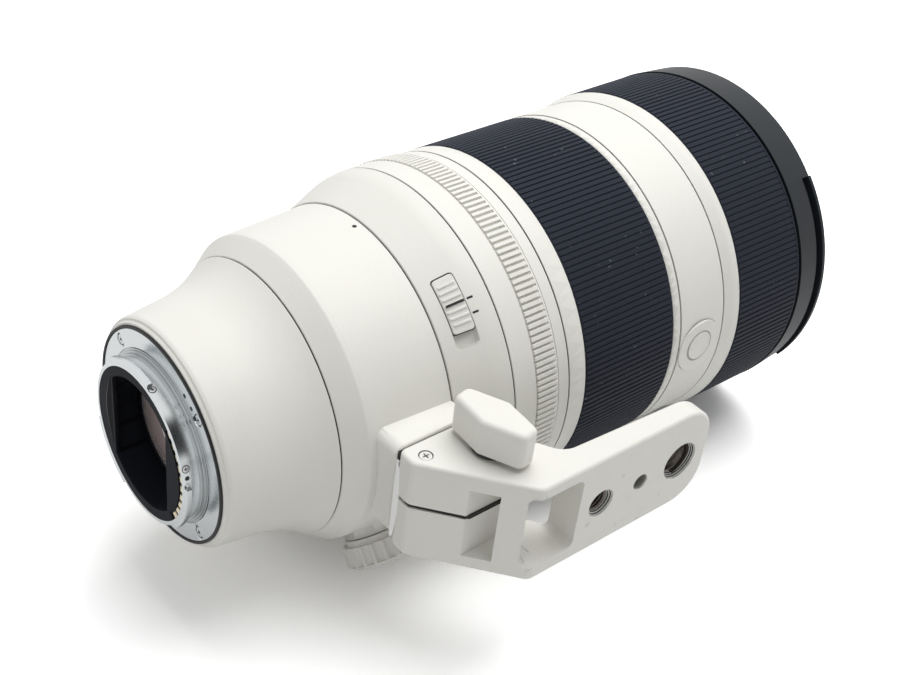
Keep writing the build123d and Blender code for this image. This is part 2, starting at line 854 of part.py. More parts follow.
def make_collar():
    """Rotating collar ring with the block that carries the foot."""
    rear = rear_seam + seam_gap / 2
    front = collar_seam - seam_gap / 2
    edge_at = rear_seam + collar_edge_from_seam
    ring = turned((collar_bore, rear), (collar_rear_radius, rear), (collar_edge_radius, edge_at),
                  (collar_front_radius, front), (collar_bore, front))
    ring = fillet(ring.edges().filter_by(GeomType.CIRCLE).filter_by(
        lambda edge: abs(edge.radius - collar_edge_radius) < seat_gap), collar_edge_rounding)
    body = block(collar_bore, block_face, rear_seam + block_rear_from_seam, front,
                 -block_width / 2, block_width / 2)
    corners = body.edges().filter_by(Axis.X).group_by(Axis.Y)[0]
    body = fillet(corners, block_corner)
    body = fillet(body.faces().sort_by(Axis.X)[-1].edges(), block_edge)
    ring += body
    ring += around(radial_rod(boss_radius, collar_bore + seam_gap, boss_face, rear_seam + knob_from_seam),
                   knob_angle)
    ring -= tube(0, collar_bore, rear - overrun, front + overrun)
    ring -= around(radial_rod(knob_stem_radius + running_gap, 0, boss_face + overrun,
                              rear_seam + knob_from_seam), knob_angle)
    for place in plate_screw_places():
        ring -= Pos(0, 0, place[1]) * radial_rod(plate_screw_shank + seat_gap, collar_bore + seam_gap,
                                                 block_face + overrun, place[0])
    save("collar_ring", ring)


def plate_screw_places():
    """Station and Z of the four screws through the dovetail rail."""
    middle = rail_middle()
    offset = plate_screw_pitch / 2
    return [(middle + along, across) for along in (-offset, offset) for across in (-offset / 2, offset / 2)]


def rail_outline(gap):
    """Dovetail section across the rail, in X and Z, larger all round by a gap."""
    low = block_face + rail_plate_thickness
    narrow = rail_narrow / 2 + gap
    wide = rail_wide / 2 + gap
    return ((low, -narrow), (low + rail_depth + gap, -wide), (low + rail_depth + gap, wide), (low, narrow))


def dovetail(gap, rear, front):
    """Dovetail bar between two stations."""
    section = make_face(Polyline(*[(x, -z) for x, z in rail_outline(gap)], close=True))
    bar = Rot(right_angle, 0, 0) * extrude(section, -(front - rear))
    return Pos(0, rear, 0) * bar


def make_dovetail_plate():
    """Steel plate with a dovetail rail, and the screws that hold it to the block."""
    middle = rail_middle()
    plate = block(block_face, block_face + rail_plate_thickness, middle - rail_plate_length / 2,
                  middle + rail_plate_length / 2, -rail_plate_width / 2, rail_plate_width / 2)
    plate += dovetail(0, middle - rail_length / 2, middle + rail_length / 2)
    face = block_face + rail_plate_thickness + rail_depth
    screws = []
    for station, across in plate_screw_places():
        head = radial_rod(plate_screw_head, face - plate_screw_head_height, face, station)
        shank = radial_rod(plate_screw_shank, face - plate_screw_length, face, station)
        hole = radial_rod(plate_screw_head + seat_gap, face - plate_screw_head_height, face + overrun,
                          station)
        hole += radial_rod(plate_screw_shank + seat_gap, block_face - overrun, face, station)
        plate -= Pos(0, 0, across) * hole
        screws.append(Pos(0, 0, across) * (head + shank))
    save("dovetail_plate", plate)
    save("plate_screws", *screws)


def make_lock_knob():
    """Lobed knob, turned open, whose stem reaches through the boss to lock the collar."""
    station = rear_seam + knob_from_seam
    neck = boss_face + part_gap
    grip = neck + knob_neck_height
    face = grip + knob_grip_height
    knob = radial_rod(knob_neck_radius, neck, grip, station)
    cap = radial_rod(knob_grip_radius, grip, face, station)
    cap = chamfer(cap.faces().sort_by(Axis.X)[-1].edges(), knob_bevel)
    lobe_circle = knob_grip_radius + knob_lobe_radius - knob_lobe_bite
    for step in range(knob_lobe_count):
        angle = 2 * math.pi * step / knob_lobe_count
        groove = radial_rod(knob_lobe_radius, grip - overrun, face - knob_bevel, station)
        cap -= Pos(0, lobe_circle * math.cos(angle), lobe_circle * math.sin(angle)) * groove
    knob += cap
    knob += radial_rod(knob_stem_radius, collar_bearing_radius + knob_stem_gap,
                       neck + knob_neck_height / 2, station)
    knob -= radial_rod(knob_screw_radius, face - knob_recess_depth, face + overrun, station)
    save("lock_knob", around(knob, knob_angle))


def cone_radius(station):
    """Radius of the switch barrel's cone at a station."""
    slope = (switch_shoulder_radius - switch_rear_radius) / switch_shoulder_length
    return switch_rear_radius + slope * (station - collar_seam)


def cone_band(start, length, low, high):
    """Outline of a strip that follows the cone, between two heights over its surface."""
    rear = collar_seam + start
    front = rear + length
    return ((cone_radius(rear) + low, rear), (cone_radius(rear) + high, rear),
            (cone_radius(front) + high, front), (cone_radius(front) + low, front))


def switches():
    """Name, slot angle, slot sweep and slider sweep of each sliding switch."""
    half = small_slot_sweep / 2
    return (("click_slider", click_slot_angle, click_slot_sweep, click_slider_sweep),
            ("focus_mode_slider", focus_mode_angle - half, small_slot_sweep, small_slider_sweep),
            ("full_time_slider", full_time_angle - half, small_slot_sweep, small_slider_sweep),
            ("range_slider", range_limit_angle - half, small_slot_sweep, small_slider_sweep),
            ("iris_lock_slider", iris_lock_angle - half, small_slot_sweep, small_slider_sweep))


def gap_angle(gap):
    """Angle that a gap takes on the cone's rear radius."""
    return math.degrees(gap / switch_rear_radius)


def make_switch_barrel():
    """Conical shell between the collar and the aperture ring, with a slot for each switch."""
    rear = collar_seam + seam_gap / 2
    front = aperture_rear - seam_gap / 2
    shoulder_at = collar_seam + switch_shoulder_length
    bore = neck_radius + seat_gap
    inner_rear = switch_rear_radius - switch_wall
    inner_front = switch_front_radius - switch_wall
    shell = turned(
        (bore, rear), (cone_radius(rear), rear), (switch_shoulder_radius, shoulder_at),
        (switch_front_radius, front), (bore, front), (bore, front - switch_wall),
        (inner_front, front - switch_wall), (inner_front - switch_wall / 2, shoulder_at - switch_wall),
        (inner_rear + switch_wall / 2, rear + switch_wall), (bore, rear + switch_wall))
    for _, slot_angle, slot_sweep, _ in switches():
        shell -= sector(cone_band(slot_start, slot_length, -slot_depth, overrun), slot_angle, slot_sweep)
    save("switch_barrel", shell)


def make_slider(node, slot_angle, slider_sweep):
    """Ribbed slider that follows the cone in its slot."""
    start = slot_start + slide_gap
    length = slot_length - 2 * slide_gap
    first = slot_angle + gap_angle(slide_gap)
    body = sector(cone_band(start, length, slide_gap - slot_depth, slider_proud), first, slider_sweep)
    pitch = slider_sweep / slider_rib_count
    rib = cone_band(start, length, 0, slider_proud + slider_rib_height)
    for step in range(slider_rib_count):
        body += sector(rib, first + pitch * (step + 1 / 4), pitch / 2)
    save(node, body)


def make_sliders():
    """Every sliding switch."""
    for node, slot_angle, _, slider_sweep in switches():
        make_slider(node, slot_angle, slider_sweep)


def make_aperture_ring():
    """Aperture ring with its knurled grip."""
    rear = aperture_rear + seam_gap / 2
    front = aperture_front - seam_gap / 2
    knurl_rear = aperture_rear + knurl_from_seam
    knurl_front = knurl_rear + knurl_length
    ring = tube(ring_bore, aperture_rear_radius, rear, knurl_rear)
    ring += tube(ring_bore, aperture_front_radius, knurl_front, front)
    pitch = full_turn / knurl_count
    crest = pitch * knurl_crest_share / 2
    root = pitch * knurl_root_share / 2
    points = []
    for step in range(knurl_count):
        middle = pitch * step
        for offset, radius in ((-crest, knurl_crest_radius), (crest, knurl_crest_radius),
                               (pitch / 2 - root, knurl_root_radius), (pitch / 2 + root, knurl_root_radius)):
            angle = math.radians(middle + offset)
            points.append((radius * math.cos(angle), radius * math.sin(angle)))
    knurl = extrude(make_face(Polyline(*points, close=True)), knurl_length)
    knurl -= Pos(0, 0, knurl_length / 2) * Cylinder(ring_bore, knurl_length + overrun)
    ring += Pos(0, knurl_front, 0) * Rot(right_angle, 0, 0) * knurl
    save("aperture_ring", ring)


def button_station():
    """Station of the hold buttons' centres."""
    return zoom_front + button_length * button_at_share


def button_angles():
    """Name and angle of each hold button."""
    return (("hold_button_lower", lower_button_angle), ("hold_button_side", side_button_angle),
            ("hold_button_upper", upper_button_angle))


def make_button_barrel():
    """Fixed barrel between the zoom and focus rings, with a flat pad round each button."""
    rear = zoom_front + seam_gap / 2
    front = button_front - seam_gap / 2
    bore = ring_bearing_radius + seat_gap
    body = tube(bore, button_barrel_radius, rear, front)
    flange_top = button_pad_face + button_proud - button_cap_height
    for _, angle in button_angles():
        pad = radial_rod(button_pad_radius, bore + seam_gap, button_pad_face, button_station())
        body += around(pad, angle)
    for _, angle in button_angles():
        well = radial_rod(button_radius + slide_gap, bore - overrun, button_pad_face + overrun,
                          button_station())
        well += radial_rod(button_radius + button_flange + slide_gap, bore - overrun, flange_top + slide_gap,
                           button_station())
        body -= around(well, angle)
    body -= tube(0, bore, rear - overrun, front + overrun)
    save("button_barrel", body)


def make_buttons():
    """Hold buttons, each a cap with the flange that keeps it in."""
    face = button_pad_face + button_proud
    flange_top = face - button_cap_height
    for node, angle in button_angles():
        cap = radial_rod(button_radius, flange_top - button_flange_height, face, button_station())
        cap = chamfer(cap.faces().sort_by(Axis.X)[-1].edges(), button_proud)
        cap += radial_rod(button_radius + button_flange, flange_top - button_flange_height, flange_top,
                          button_station())
        save(node, around(cap, angle))


def make_focus_ring():
    """Focus ring and its rubber."""
    rear = button_front + seam_gap / 2
    front = focus_front - seam_gap / 2
    band = rear + focus_rear_band
    ring = turned((ring_bore, rear), (focus_rear_radius, rear), (focus_shoulder_radius, band),
                  (focus_seat_radius, band), (focus_seat_radius, front), (ring_bore, front))
    seat = focus_seat_radius + seat_gap
    rubber = turned((seat, band + rubber_gap), (focus_rubber_rear_radius, band + rubber_gap),
                    (focus_rubber_front_radius, front), (seat, front))
    save("focus_ring", ring)
    save("focus_rubber", rubber)


def main_front():
    """Station of the main barrel's front end."""
    return lens_length - main_front_recess


def front_cell_rear():
    """Station of the front cell's rear end."""
    return main_front() - front_cell_length


def make_front_barrel():
    """Black front barrel with the filter thread's bore and two lugs for the hood."""
    rear = focus_front + seam_gap / 2
    seat_at = lens_length - filter_depth
    body = turned(
        (ring_bearing_radius + seat_gap, rear), (front_rear_radius, rear),
        (front_edge_radius, lens_length - front_chamfer), (front_edge_radius - front_chamfer, lens_length),
        (filter_radius + front_chamfer, lens_length), (filter_radius, lens_length - front_chamfer),
        (filter_radius, seat_at), (front_seat_radius, seat_at), (front_seat_radius, main_front() + seat_gap),
        (ring_bearing_radius + seat_gap, main_front() + seat_gap))
    lip_rear = lens_length - hood_lip_thickness
    lip = ((hood_groove_radius, lip_rear), (hood_lip_radius, lip_rear),
           (hood_lip_radius, lens_length - front_chamfer), (hood_groove_radius, lens_length - front_chamfer))
    groove_rear = lip_rear - hood_groove_width
    groove = ((hood_groove_radius, groove_rear), (front_rear_radius + overrun, groove_rear),
              (front_rear_radius + overrun, lip_rear), (hood_groove_radius, lip_rear))
    for step in range(hood_lug_count):
        start = hood_lug_angle + full_turn * step / hood_lug_count
        body += sector(lip, start, hood_lug_sweep)
        body -= sector(groove, start, hood_lug_sweep)
    save("front_barrel", body)


def make_front_optics():
    """Front glass, the cell that holds it and the ring that keeps it in."""
    rear = front_cell_rear()
    front = main_front()
    glass_rear = rear + front_glass_back
    glass_front = glass_rear + front_glass_edge
    outer = main_bore - seat_gap
    inner = front_glass_radius + seat_gap
    cell = turned(
        (inner - front_cell_seat, rear + front_cell_seat), (rod_flange_radius, rear + front_cell_seat),
        (rod_flange_radius, rear), (outer, rear), (outer, front), (inner, front), (inner, glass_rear),
        (inner - front_cell_seat, glass_rear))
    hole = axial_rod(rod_radius + seat_gap, rod_circle, rear - overrun, rear + front_cell_seat + overrun)
    for cut in spread(hole, rod_count, rod_angle):
        cell -= cut
    glass = lens_outline(front_glass_radius, glass_rear, glass_front, -front_glass_hollow, front_glass_crown)
    ring_rear = front + seat_gap
    ring_front = ring_rear + retainer_thickness
    ring_outer = front_seat_radius - seat_gap
    ring = turned((retainer_inner_radius, ring_rear), (ring_outer, ring_rear), (ring_outer, ring_front),
                  (retainer_inner_radius + retainer_slope, ring_front))
    save("front_cell", cell)
    save("front_element", glass)
    save("front_retainer", ring)


def rail_middle():
    """Station of the middle of the block and its dovetail rail."""
    return (rear_seam + block_rear_from_seam + collar_seam) / 2


def foot_casting():
    """Outer form of the foot: clamp jaw, sloping heel and tapered plate, with softened rims."""
    half = foot_width / 2
    plate_rear = foot_face - foot_thickness_rear
    plate_front = foot_face - foot_thickness_front
    bend = (plate_rear, foot_leg_lower + foot_inner_fillet)
    outline = Polyline(
        (jaw_face, foot_rear), (foot_heel, foot_rear), (foot_face, foot_toe_start), (foot_face, foot_front),
        (plate_front, foot_front), bend, (foot_leg_bend, foot_leg_lower), (jaw_face, foot_leg_front),
        close=True)
    foot = extrude(make_face(outline), half, both=True)
    upright = foot.edges().filter_by(Axis.Z)
    foot = fillet([upright.sort_by_distance((foot_heel, foot_rear, 0))[0],
                   upright.sort_by_distance((foot_face, foot_toe_start, 0))[0]], foot_heel_fillet)
    upright = foot.edges().filter_by(Axis.Z)
    foot = fillet(upright.sort_by_distance((jaw_face, foot_rear, 0))[0], foot_jaw_fillet)
    upright = foot.edges().filter_by(Axis.Z)
    foot = fillet(upright.sort_by_distance((bend[0], bend[1], 0))[0], foot_inner_fillet)
    toes = foot.edges().filter_by(Axis.X).sort_by(Axis.Y)[-2:]
    foot = fillet(toes, foot_front_corner)
    rims = foot.faces().filter_by(Axis.Z).edges()
    return fillet(rims, foot_edge)


def slope_x(station):
    """X of the sloping heel at a station."""
    return foot_heel + (foot_face - foot_heel) * (station - foot_rear) / (foot_toe_start - foot_rear)


def bridge_edge(station):
    """Outer and inner end of the bridge's wall at a station, square to the sloping heel."""
    run = Vector(foot_face - foot_heel, foot_toe_start - foot_rear, 0).normalized()
    edge = Vector(slope_x(station), station, 0)
    inward = Vector(-run.Y, run.X, 0)
    outer = edge - inward * overrun / 2
    inner = edge + inward * bridge_thickness
    return (outer.X, outer.Y), (inner.X, inner.Y)


def foot_hollows():
    """Pocket, the room under the bridge, and the window, as one cut."""
    floor = slope_x(pocket_rear)
    rear_outer, rear_inner = bridge_edge(pocket_front)
    front_outer, front_inner = bridge_edge(window_rear)
    start_outer = bridge_edge(pocket_rear)[0]
    pocket = extrude(make_face(Polyline(
        (floor, pocket_rear), start_outer, rear_outer, rear_inner, front_inner, (front_inner[0], window_deep),
        (floor, window_deep), close=True)), pocket_high - pocket_low)
    beyond = foot_face + overrun
    window = extrude(make_face(Polyline(
        front_outer, front_inner, (floor, front_inner[1]), (floor, window_deep), (window_roof, window_deep),
        (window_roof, window_front), (beyond, window_front), (beyond, front_outer[1]), close=True)),
        window_high - window_low)
    middle_x = (front_outer[0] + front_inner[0]) / 2
    middle_y = (front_outer[1] + front_inner[1]) / 2
    corners = []
    for height in (0, window_high - window_low):
        corners.append(window.edges().sort_by_distance((middle_x, middle_y, height))[0])
        corners.append(window.edges().sort_by_distance((foot_face, window_front, height))[0])
    return Pos(0, 0, pocket_low) * pocket, Pos(0, 0, window_low) * fillet(corners, window_corner)


def make_foot():
    """Tripod foot with its dovetail jaw, clamp slit, pocket, window and plate holes."""
    half = foot_width / 2
    foot = foot_casting()
    foot -= dovetail(slide_gap, rail_middle() - rail_length / 2 - part_gap, foot_leg_lower + overrun)
    for hollow in foot_hollows():
        foot -= hollow
    foot -= block(jaw_face - overrun, slit_floor, foot_rear - overrun, foot_leg_lower + overrun,
                  slit_offset - slit_width / 2, slit_offset + slit_width / 2)
    foot -= cross_rod(bolt_radius + slide_gap, lever_x, lever_at, -half - overrun, half + overrun)
    foot -= cross_rod(bolt_nut_radius + seat_gap, lever_x, lever_at, -half - overrun, bolt_nut_height - half)
    small = small_thread_radius + insert_wall + seat_gap
    large = large_thread_radius + insert_wall + seat_gap
    foot -= radial_rod(small, foot_face - insert_recess - small_insert_depth, foot_face + overrun,
                       small_thread_at)
    foot -= radial_rod(large, foot_face - insert_recess - large_insert_depth, foot_face + overrun,
                       large_thread_at)
    foot -= radial_rod(pin_hole_radius, foot_face - pin_hole_depth, foot_face + overrun, pin_hole_at)
    foot -= cross_rod(side_screw_radius + seat_gap, side_screw_x, side_screw_at, half - side_screw_height,
                      half + overrun)
    foot -= cross_rod(side_screw_shank + seat_gap, side_screw_x, side_screw_at, half - side_screw_length,
                      half)
    save("tripod_foot", foot)


def make_foot_fittings():
    """Threaded bushes in the plate, the side screw and the clamp nut."""
    half = foot_width / 2
    bushes = []
    for radius, depth, station in ((small_thread_radius, small_insert_depth, small_thread_at),
                                   (large_thread_radius, large_insert_depth, large_thread_at)):
        face = foot_face - insert_recess
        bush = radial_rod(radius + insert_wall, face - depth, face, station)
        bushes.append(bush - radial_rod(radius, face - depth - overrun, face + overrun, station))
    save("thread_bushes", *bushes)
    head = cross_rod(side_screw_radius, side_screw_x, side_screw_at, half - side_screw_height,
                     half - side_screw_recess)
    shank = cross_rod(side_screw_shank, side_screw_x, side_screw_at, half - side_screw_length + seat_gap,
                      half - side_screw_recess)
    save("foot_side_screw", head + shank)
    nut = cross_rod(bolt_nut_radius, lever_x, lever_at, -half + side_screw_recess, bolt_nut_height - half)
    save("clamp_nut", nut - cross_rod(bolt_radius + running_gap, lever_x, lever_at, -half - overrun, 0))


def make_clamp_lever():
    """Elongated hexagonal lever on its hub, and the clamp bolt that it turns."""
    low = foot_width / 2 + part_gap
    base = low + lever_gap
    half_length = lever_length / 2
    half_width = lever_width / 2
    half_tip = lever_tip_width / 2
    wing = make_face(Polyline(
        (half_length, -half_tip), (half_length, half_tip), (0, half_width), (-half_length, half_tip),
        (-half_length, -half_tip), (0, -half_width), close=True))
    wing = extrude(wing, lever_height)
    wing = fillet(wing.edges().filter_by(Axis.Z), lever_corner)
    wing = fillet(wing.faces().sort_by(Axis.Z)[-1].edges(), lever_bevel)
    lever = Pos(lever_x, lever_at, base) * Rot(0, 0, lever_rest_angle) * wing
    lever += cross_rod(hub_radius, lever_x, lever_at, low, base + lever_gap)
    lever -= cross_rod(bolt_radius + seat_gap, lever_x, lever_at, low - overrun, base + lever_height / 2)
    save("clamp_lever", lever)
    bolt = cross_rod(bolt_radius, lever_x, lever_at, -foot_width / 2 + side_screw_recess + part_gap,
                     base + lever_height / 2 - seat_gap)
    save("clamp_bolt", bolt)


os.makedirs("parts", exist_ok=True)
make_bayonet_mount()
make_gasket()
make_mount_screws()
make_contacts()
make_rear_baffle()
make_rear_barrel()
make_rear_optics()
make_main_barrel()
make_zoom_ring()
make_zoom_cells()
make_focus_drive()
make_relay()
make_iris()
make_collar()
make_dovetail_plate()
make_lock_knob()
make_switch_barrel()
make_sliders()
make_aperture_ring()
make_button_barrel()
make_buttons()
make_focus_ring()
make_front_barrel()
make_front_optics()
make_foot()
make_foot_fittings()
make_clamp_lever()
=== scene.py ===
"""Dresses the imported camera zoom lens, and lights and frames it as the photograph does."""

import json
import logging
import math
from dataclasses import dataclass
from enum import Enum
from typing import Iterable, Sequence

import bmesh
import bpy
from mathutils import Matrix, Vector


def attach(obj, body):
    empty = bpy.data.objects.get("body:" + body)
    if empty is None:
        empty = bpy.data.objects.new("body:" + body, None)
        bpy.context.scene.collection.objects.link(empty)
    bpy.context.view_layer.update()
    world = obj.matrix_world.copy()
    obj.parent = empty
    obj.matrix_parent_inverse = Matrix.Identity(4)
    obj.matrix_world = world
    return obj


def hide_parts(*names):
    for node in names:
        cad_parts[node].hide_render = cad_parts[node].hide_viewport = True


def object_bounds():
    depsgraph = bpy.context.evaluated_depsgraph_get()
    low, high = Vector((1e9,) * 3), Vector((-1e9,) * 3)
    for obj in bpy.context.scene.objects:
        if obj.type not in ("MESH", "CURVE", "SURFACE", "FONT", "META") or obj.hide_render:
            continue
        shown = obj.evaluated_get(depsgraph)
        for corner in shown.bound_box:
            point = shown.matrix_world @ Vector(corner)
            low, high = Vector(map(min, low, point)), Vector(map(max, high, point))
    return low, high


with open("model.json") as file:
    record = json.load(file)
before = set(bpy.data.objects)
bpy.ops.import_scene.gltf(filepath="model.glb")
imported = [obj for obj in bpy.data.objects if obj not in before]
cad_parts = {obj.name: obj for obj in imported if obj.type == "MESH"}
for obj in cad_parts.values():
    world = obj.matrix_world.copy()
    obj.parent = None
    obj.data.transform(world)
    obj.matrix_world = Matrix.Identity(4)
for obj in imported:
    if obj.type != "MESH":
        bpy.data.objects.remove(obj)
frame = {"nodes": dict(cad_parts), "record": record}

CAD_BOX = [list(corner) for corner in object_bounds()]
MM = 0.001
FULL_TURN = 2 * math.pi
SHARP_ANGLE = math.radians(32)
BEVEL_ANGLE = math.radians(35)
RING_SIDES = 256
DOUBLES = 0.0005
CAD_DOUBLES = 2e-6
log = logging.getLogger("lens")

# Places whose Z runs along the optical axis, to the front and to the rear.
OPTICAL = Matrix(((1, 0, 0, 0), (0, 0, 1, 0), (0, -1, 0, 0), (0, 0, 0, 1)))
REARWARD = Matrix(((1, 0, 0, 0), (0, 0, -1, 0), (0, 1, 0, 0), (0, 0, 0, 1)))
Outline = list[tuple[float, float]]
Color = tuple[float, float, float]


class Pattern(Enum):
    """What varies over a finish."""

    GRAIN = "grain"
    TURNED = "turned"
    DUSTED = "dusted"
    CLEAR = "clear"
    # Painted reflection of rings and a pale rim, on the rear glass.
    PAINTED_RING_REFLECTIONS = "painted_ring_reflections"
    WORN = "worn"


class Signal:
    """A shader value for Python expressions. Each operator adds its Math node."""

    def __init__(self, maker: "TreeMaker", socket: bpy.types.NodeSocket) -> None:
        """Wraps an output socket."""
        self.maker = maker
        self.socket = socket

    def _join(self, operation: str, first: "Signal | float", second: "Signal | float") -> "Signal":
        """A Math node on two values."""
        return self.maker.add("ShaderNodeMath", {"operation": operation}, {0: first, 1: second})

    def __add__(self, other: "Signal | float") -> "Signal":
        """Sum."""
        return self._join("ADD", self, other)

    __radd__ = __add__

    def __mul__(self, other: "Signal | float") -> "Signal":
        """Product."""
        return self._join("MULTIPLY", self, other)

    __rmul__ = __mul__

    def __sub__(self, other: "Signal | float") -> "Signal":
        """Difference."""
        return self._join("SUBTRACT", self, other)

    def __rsub__(self, other: float) -> "Signal":
        """Difference from a number."""
        return self._join("SUBTRACT", other, self)

    def __pow__(self, other: float) -> "Signal":
        """Power."""
        return self._join("POWER", self, other)

    def over(self, limit: float) -> "Signal":
        """1 where the value is over a limit, else 0."""
        return self._join("GREATER_THAN", self, limit)

    def clamped(self) -> "Signal":
        """The value held between 0 and 1."""
        return self.maker.add("ShaderNodeClamp", {}, {"Value": self})


class TreeMaker:
    """Adds nodes to a shader or geometry tree."""

    def __init__(self, tree: bpy.types.NodeTree) -> None:
        """Starts on a tree."""
        self.tree = tree

    def node(self, kind: str, settings: dict | None = None, sockets: dict | None = None) -> bpy.types.Node:
        """Any node, from its type, its settings and the values or links of its sockets.

        Args:
            kind: The node's type.
            settings: Properties of the node, and "stops" for a ramp.
            sockets: Values, signals or sockets by input name or number.

        Returns:
            The new node.
        """
        made = self.tree.nodes.new(kind)
        for key, value in (settings or {}).items():
            if key == "stops":
                ramp = made.color_ramp.elements
                for index, (place, color) in enumerate(value):
                    stop = ramp[index] if index < len(ramp) else ramp.new(place)
                    stop.position = place
                    stop.color = color
            else:
                setattr(made, key, value)
        for key, value in (sockets or {}).items():
            self.feed(made.inputs[key], value)
        return made

    def add(self, kind: str, settings: dict | None = None, sockets: dict | None = None,
            output: str | int = 0) -> Signal:
        """As node, but returns one of the node's outputs as a signal."""
        return Signal(self, self.node(kind, settings, sockets).outputs[output])

    def feed(self, socket: bpy.types.NodeSocket, value: object) -> None:
        """Links a signal or socket into a socket, or sets its value."""
        if isinstance(value, Signal):
            self.tree.links.new(value.socket, socket)
        elif isinstance(value, bpy.types.NodeSocket):
            self.tree.links.new(value, socket)
        else:
            socket.default_value = value


@dataclass(frozen=True)
class PatternSizes:
    """Scales, limits and second colors of the patterns. Places are in metres."""

    drift_middle: float = 0.03
    speck_scale: float = 900.0
    speck_limit: float = 0.81
    speck_patch: float = 0.56
    dust: Color = (0.33, 0.35, 0.39)
    plate_from: float = 0.0792
    blot_limit: float = 0.66
    rub_limit: float = 0.50
    rubbed: Color = (0.36, 0.36, 0.33)
    # The rear glass's painted reflection: where its pale rim starts and rises, its rings and the rim's
    # colour.
    rim_from: float = 0.0085
    rim_rise: float = 170.0
    ring_waves: float = 2600.0
    rim_reflection: Color = (0.95, 0.84, 0.81)


SIZES = PatternSizes()


class Painter:
    """Makes a finish's shader, and puts the finish's pattern on it."""

    def __init__(self, finish: "Finish", tree: bpy.types.NodeTree) -> None:
        """Makes a Principled shader with the finish's even values.

        Args:
            finish: The finish.
            tree: The empty tree of its material.
        """
        self.finish = finish
        self.maker = TreeMaker(tree)
        self.shader = self.maker.node("ShaderNodeBsdfPrincipled", {}, {
            "Base Color": (*finish.color, 1), "Roughness": finish.roughness, "Metallic": finish.metallic,
            "Coat Weight": finish.coat, "Coat Roughness": finish.coat_roughness, "IOR": finish.ior,
            "Transmission Weight": finish.transmission, "Specular IOR Level": finish.specular})
        self.maker.node("ShaderNodeOutputMaterial", {}, {"Surface": self.shader.outputs[0]})
        self.place = self.maker.add("ShaderNodeTexCoord", output="Object")

    def noise(self, scale: float, detail: float = 2.0, place: Signal | None = None) -> Signal:
        """Noise between 0 and 1 at a scale per metre."""
        return self.maker.add("ShaderNodeTexNoise", {}, {
            "Vector": place or self.place, "Scale": scale, "Detail": detail}, "Fac")

    def axes(self) -> list[Signal]:
        """The place's X, Y and Z."""
        parts = self.maker.node("ShaderNodeSeparateXYZ", {}, {0: self.place})
        return [Signal(self.maker, parts.outputs[index]) for index in range(3)]

    def tint(self, share: Signal, other: Color) -> None:
        """Mixes another color into the base color.

        Args:
            share: Where the other color shows, from 0 to 1.
            other: The other color.
        """
        mixed = self.maker.node("ShaderNodeMix", {"data_type": "RGBA"}, {
            "Factor": share, 6: (*self.finish.color, 1), 7: (*other, 1)})
        self.maker.feed(self.shader.inputs["Base Color"], mixed.outputs[2])

    def polish(self, roughness: Signal) -> None:
        """Feeds the roughness."""
        self.maker.feed(self.shader.inputs["Roughness"], roughness)

    def drift(self, slow: Signal) -> Signal:
        """The finish's roughness, drifting with a slow noise."""
        return slow * self.finish.roughness_drift + (self.finish.roughness - SIZES.drift_middle)

    def raise_by(self, height: Signal) -> None:
        """Feeds a height into the normal."""
        bump = self.maker.node("ShaderNodeBump", {}, {
            "Strength": self.finish.relief, "Distance": self.finish.relief_depth, "Height": height})
        self.maker.feed(self.shader.inputs["Normal"], bump.outputs[0])

    def darker(self) -> Color:
        """The finish's color, darkened by its drift."""
        return tuple(value * (1 - self.finish.color_drift) for value in self.finish.color)

    def grain(self) -> None:
        """Fine even grain, with a slow drift of color."""
        fine, slow = self.noise(self.finish.grain_scale), self.noise(40.0)
        self.tint((slow * 0.7 + fine * 0.3).clamped(), self.darker())
        self.polish(self.drift(slow))
        self.raise_by(fine)

    def turned(self) -> None:
        """Fine lathe lines round the optical axis."""
        across, along, up = self.axes()
        radius = (across * across + up * up) ** 0.5
        line = self.maker.add("ShaderNodeCombineXYZ", {}, {0: radius * 5.0, 1: along * 5.0})
        rings, slow = self.noise(self.finish.grain_scale, 3.0, line), self.noise(90.0)
        self.tint(rings, self.darker())
        self.polish(rings * self.finish.roughness_drift + slow * 0.04 + (self.finish.roughness - 0.04))
        self.raise_by(rings)

    def dusted(self) -> None:
        """Matt surface with a few pale specks of dust."""
        fine, slow = self.noise(self.finish.grain_scale), self.noise(60.0)
        specks = self.noise(SIZES.speck_scale, 0.0).over(SIZES.speck_limit)
        patches = self.noise(130.0).over(SIZES.speck_patch)
        self.tint((specks * patches * 0.24 + fine * 0.01).clamped(), SIZES.dust)
        self.polish(self.drift(slow))
        self.raise_by(fine)

    def worn(self) -> None:
        """Grain, with grey smudges where the foot's plate has rubbed on a tripod."""
        fine, slow = self.noise(self.finish.grain_scale), self.noise(60.0)
        plate = self.axes()[0].over(SIZES.plate_from)
        blots = ((self.noise(300.0) - SIZES.blot_limit) * 9.0).clamped()
        rubs = ((self.noise(150.0, 5.0) - SIZES.rub_limit) * 2.0).clamped()
        self.tint((plate * (blots * 0.36 + rubs * 0.13) + slow * 0.05).clamped(), SIZES.rubbed)
        self.polish(self.drift(slow))
        self.raise_by(fine)

    def painted_ring_reflections(self) -> None:
        """Coated glass with painted reflection: faint rings of the elements behind it and a pale rim."""
        across, _, up = self.axes()
        radius = (across * across + up * up) ** 0.5
        wave = self.maker.add("ShaderNodeMath", {"operation": "SINE"}, {0: radius * SIZES.ring_waves})
        rim_reflection = ((radius - SIZES.rim_from) * SIZES.rim_rise).clamped()
        self.tint((rim_reflection * (wave * 0.28 + 0.55)).clamped(), SIZES.rim_reflection)
        self.polish(rim_reflection * 0.10 + 0.03)

    def clear(self) -> None:
        """Clean glass with the faintest drift of roughness."""
        self.polish(self.noise(60.0) * self.finish.roughness_drift)


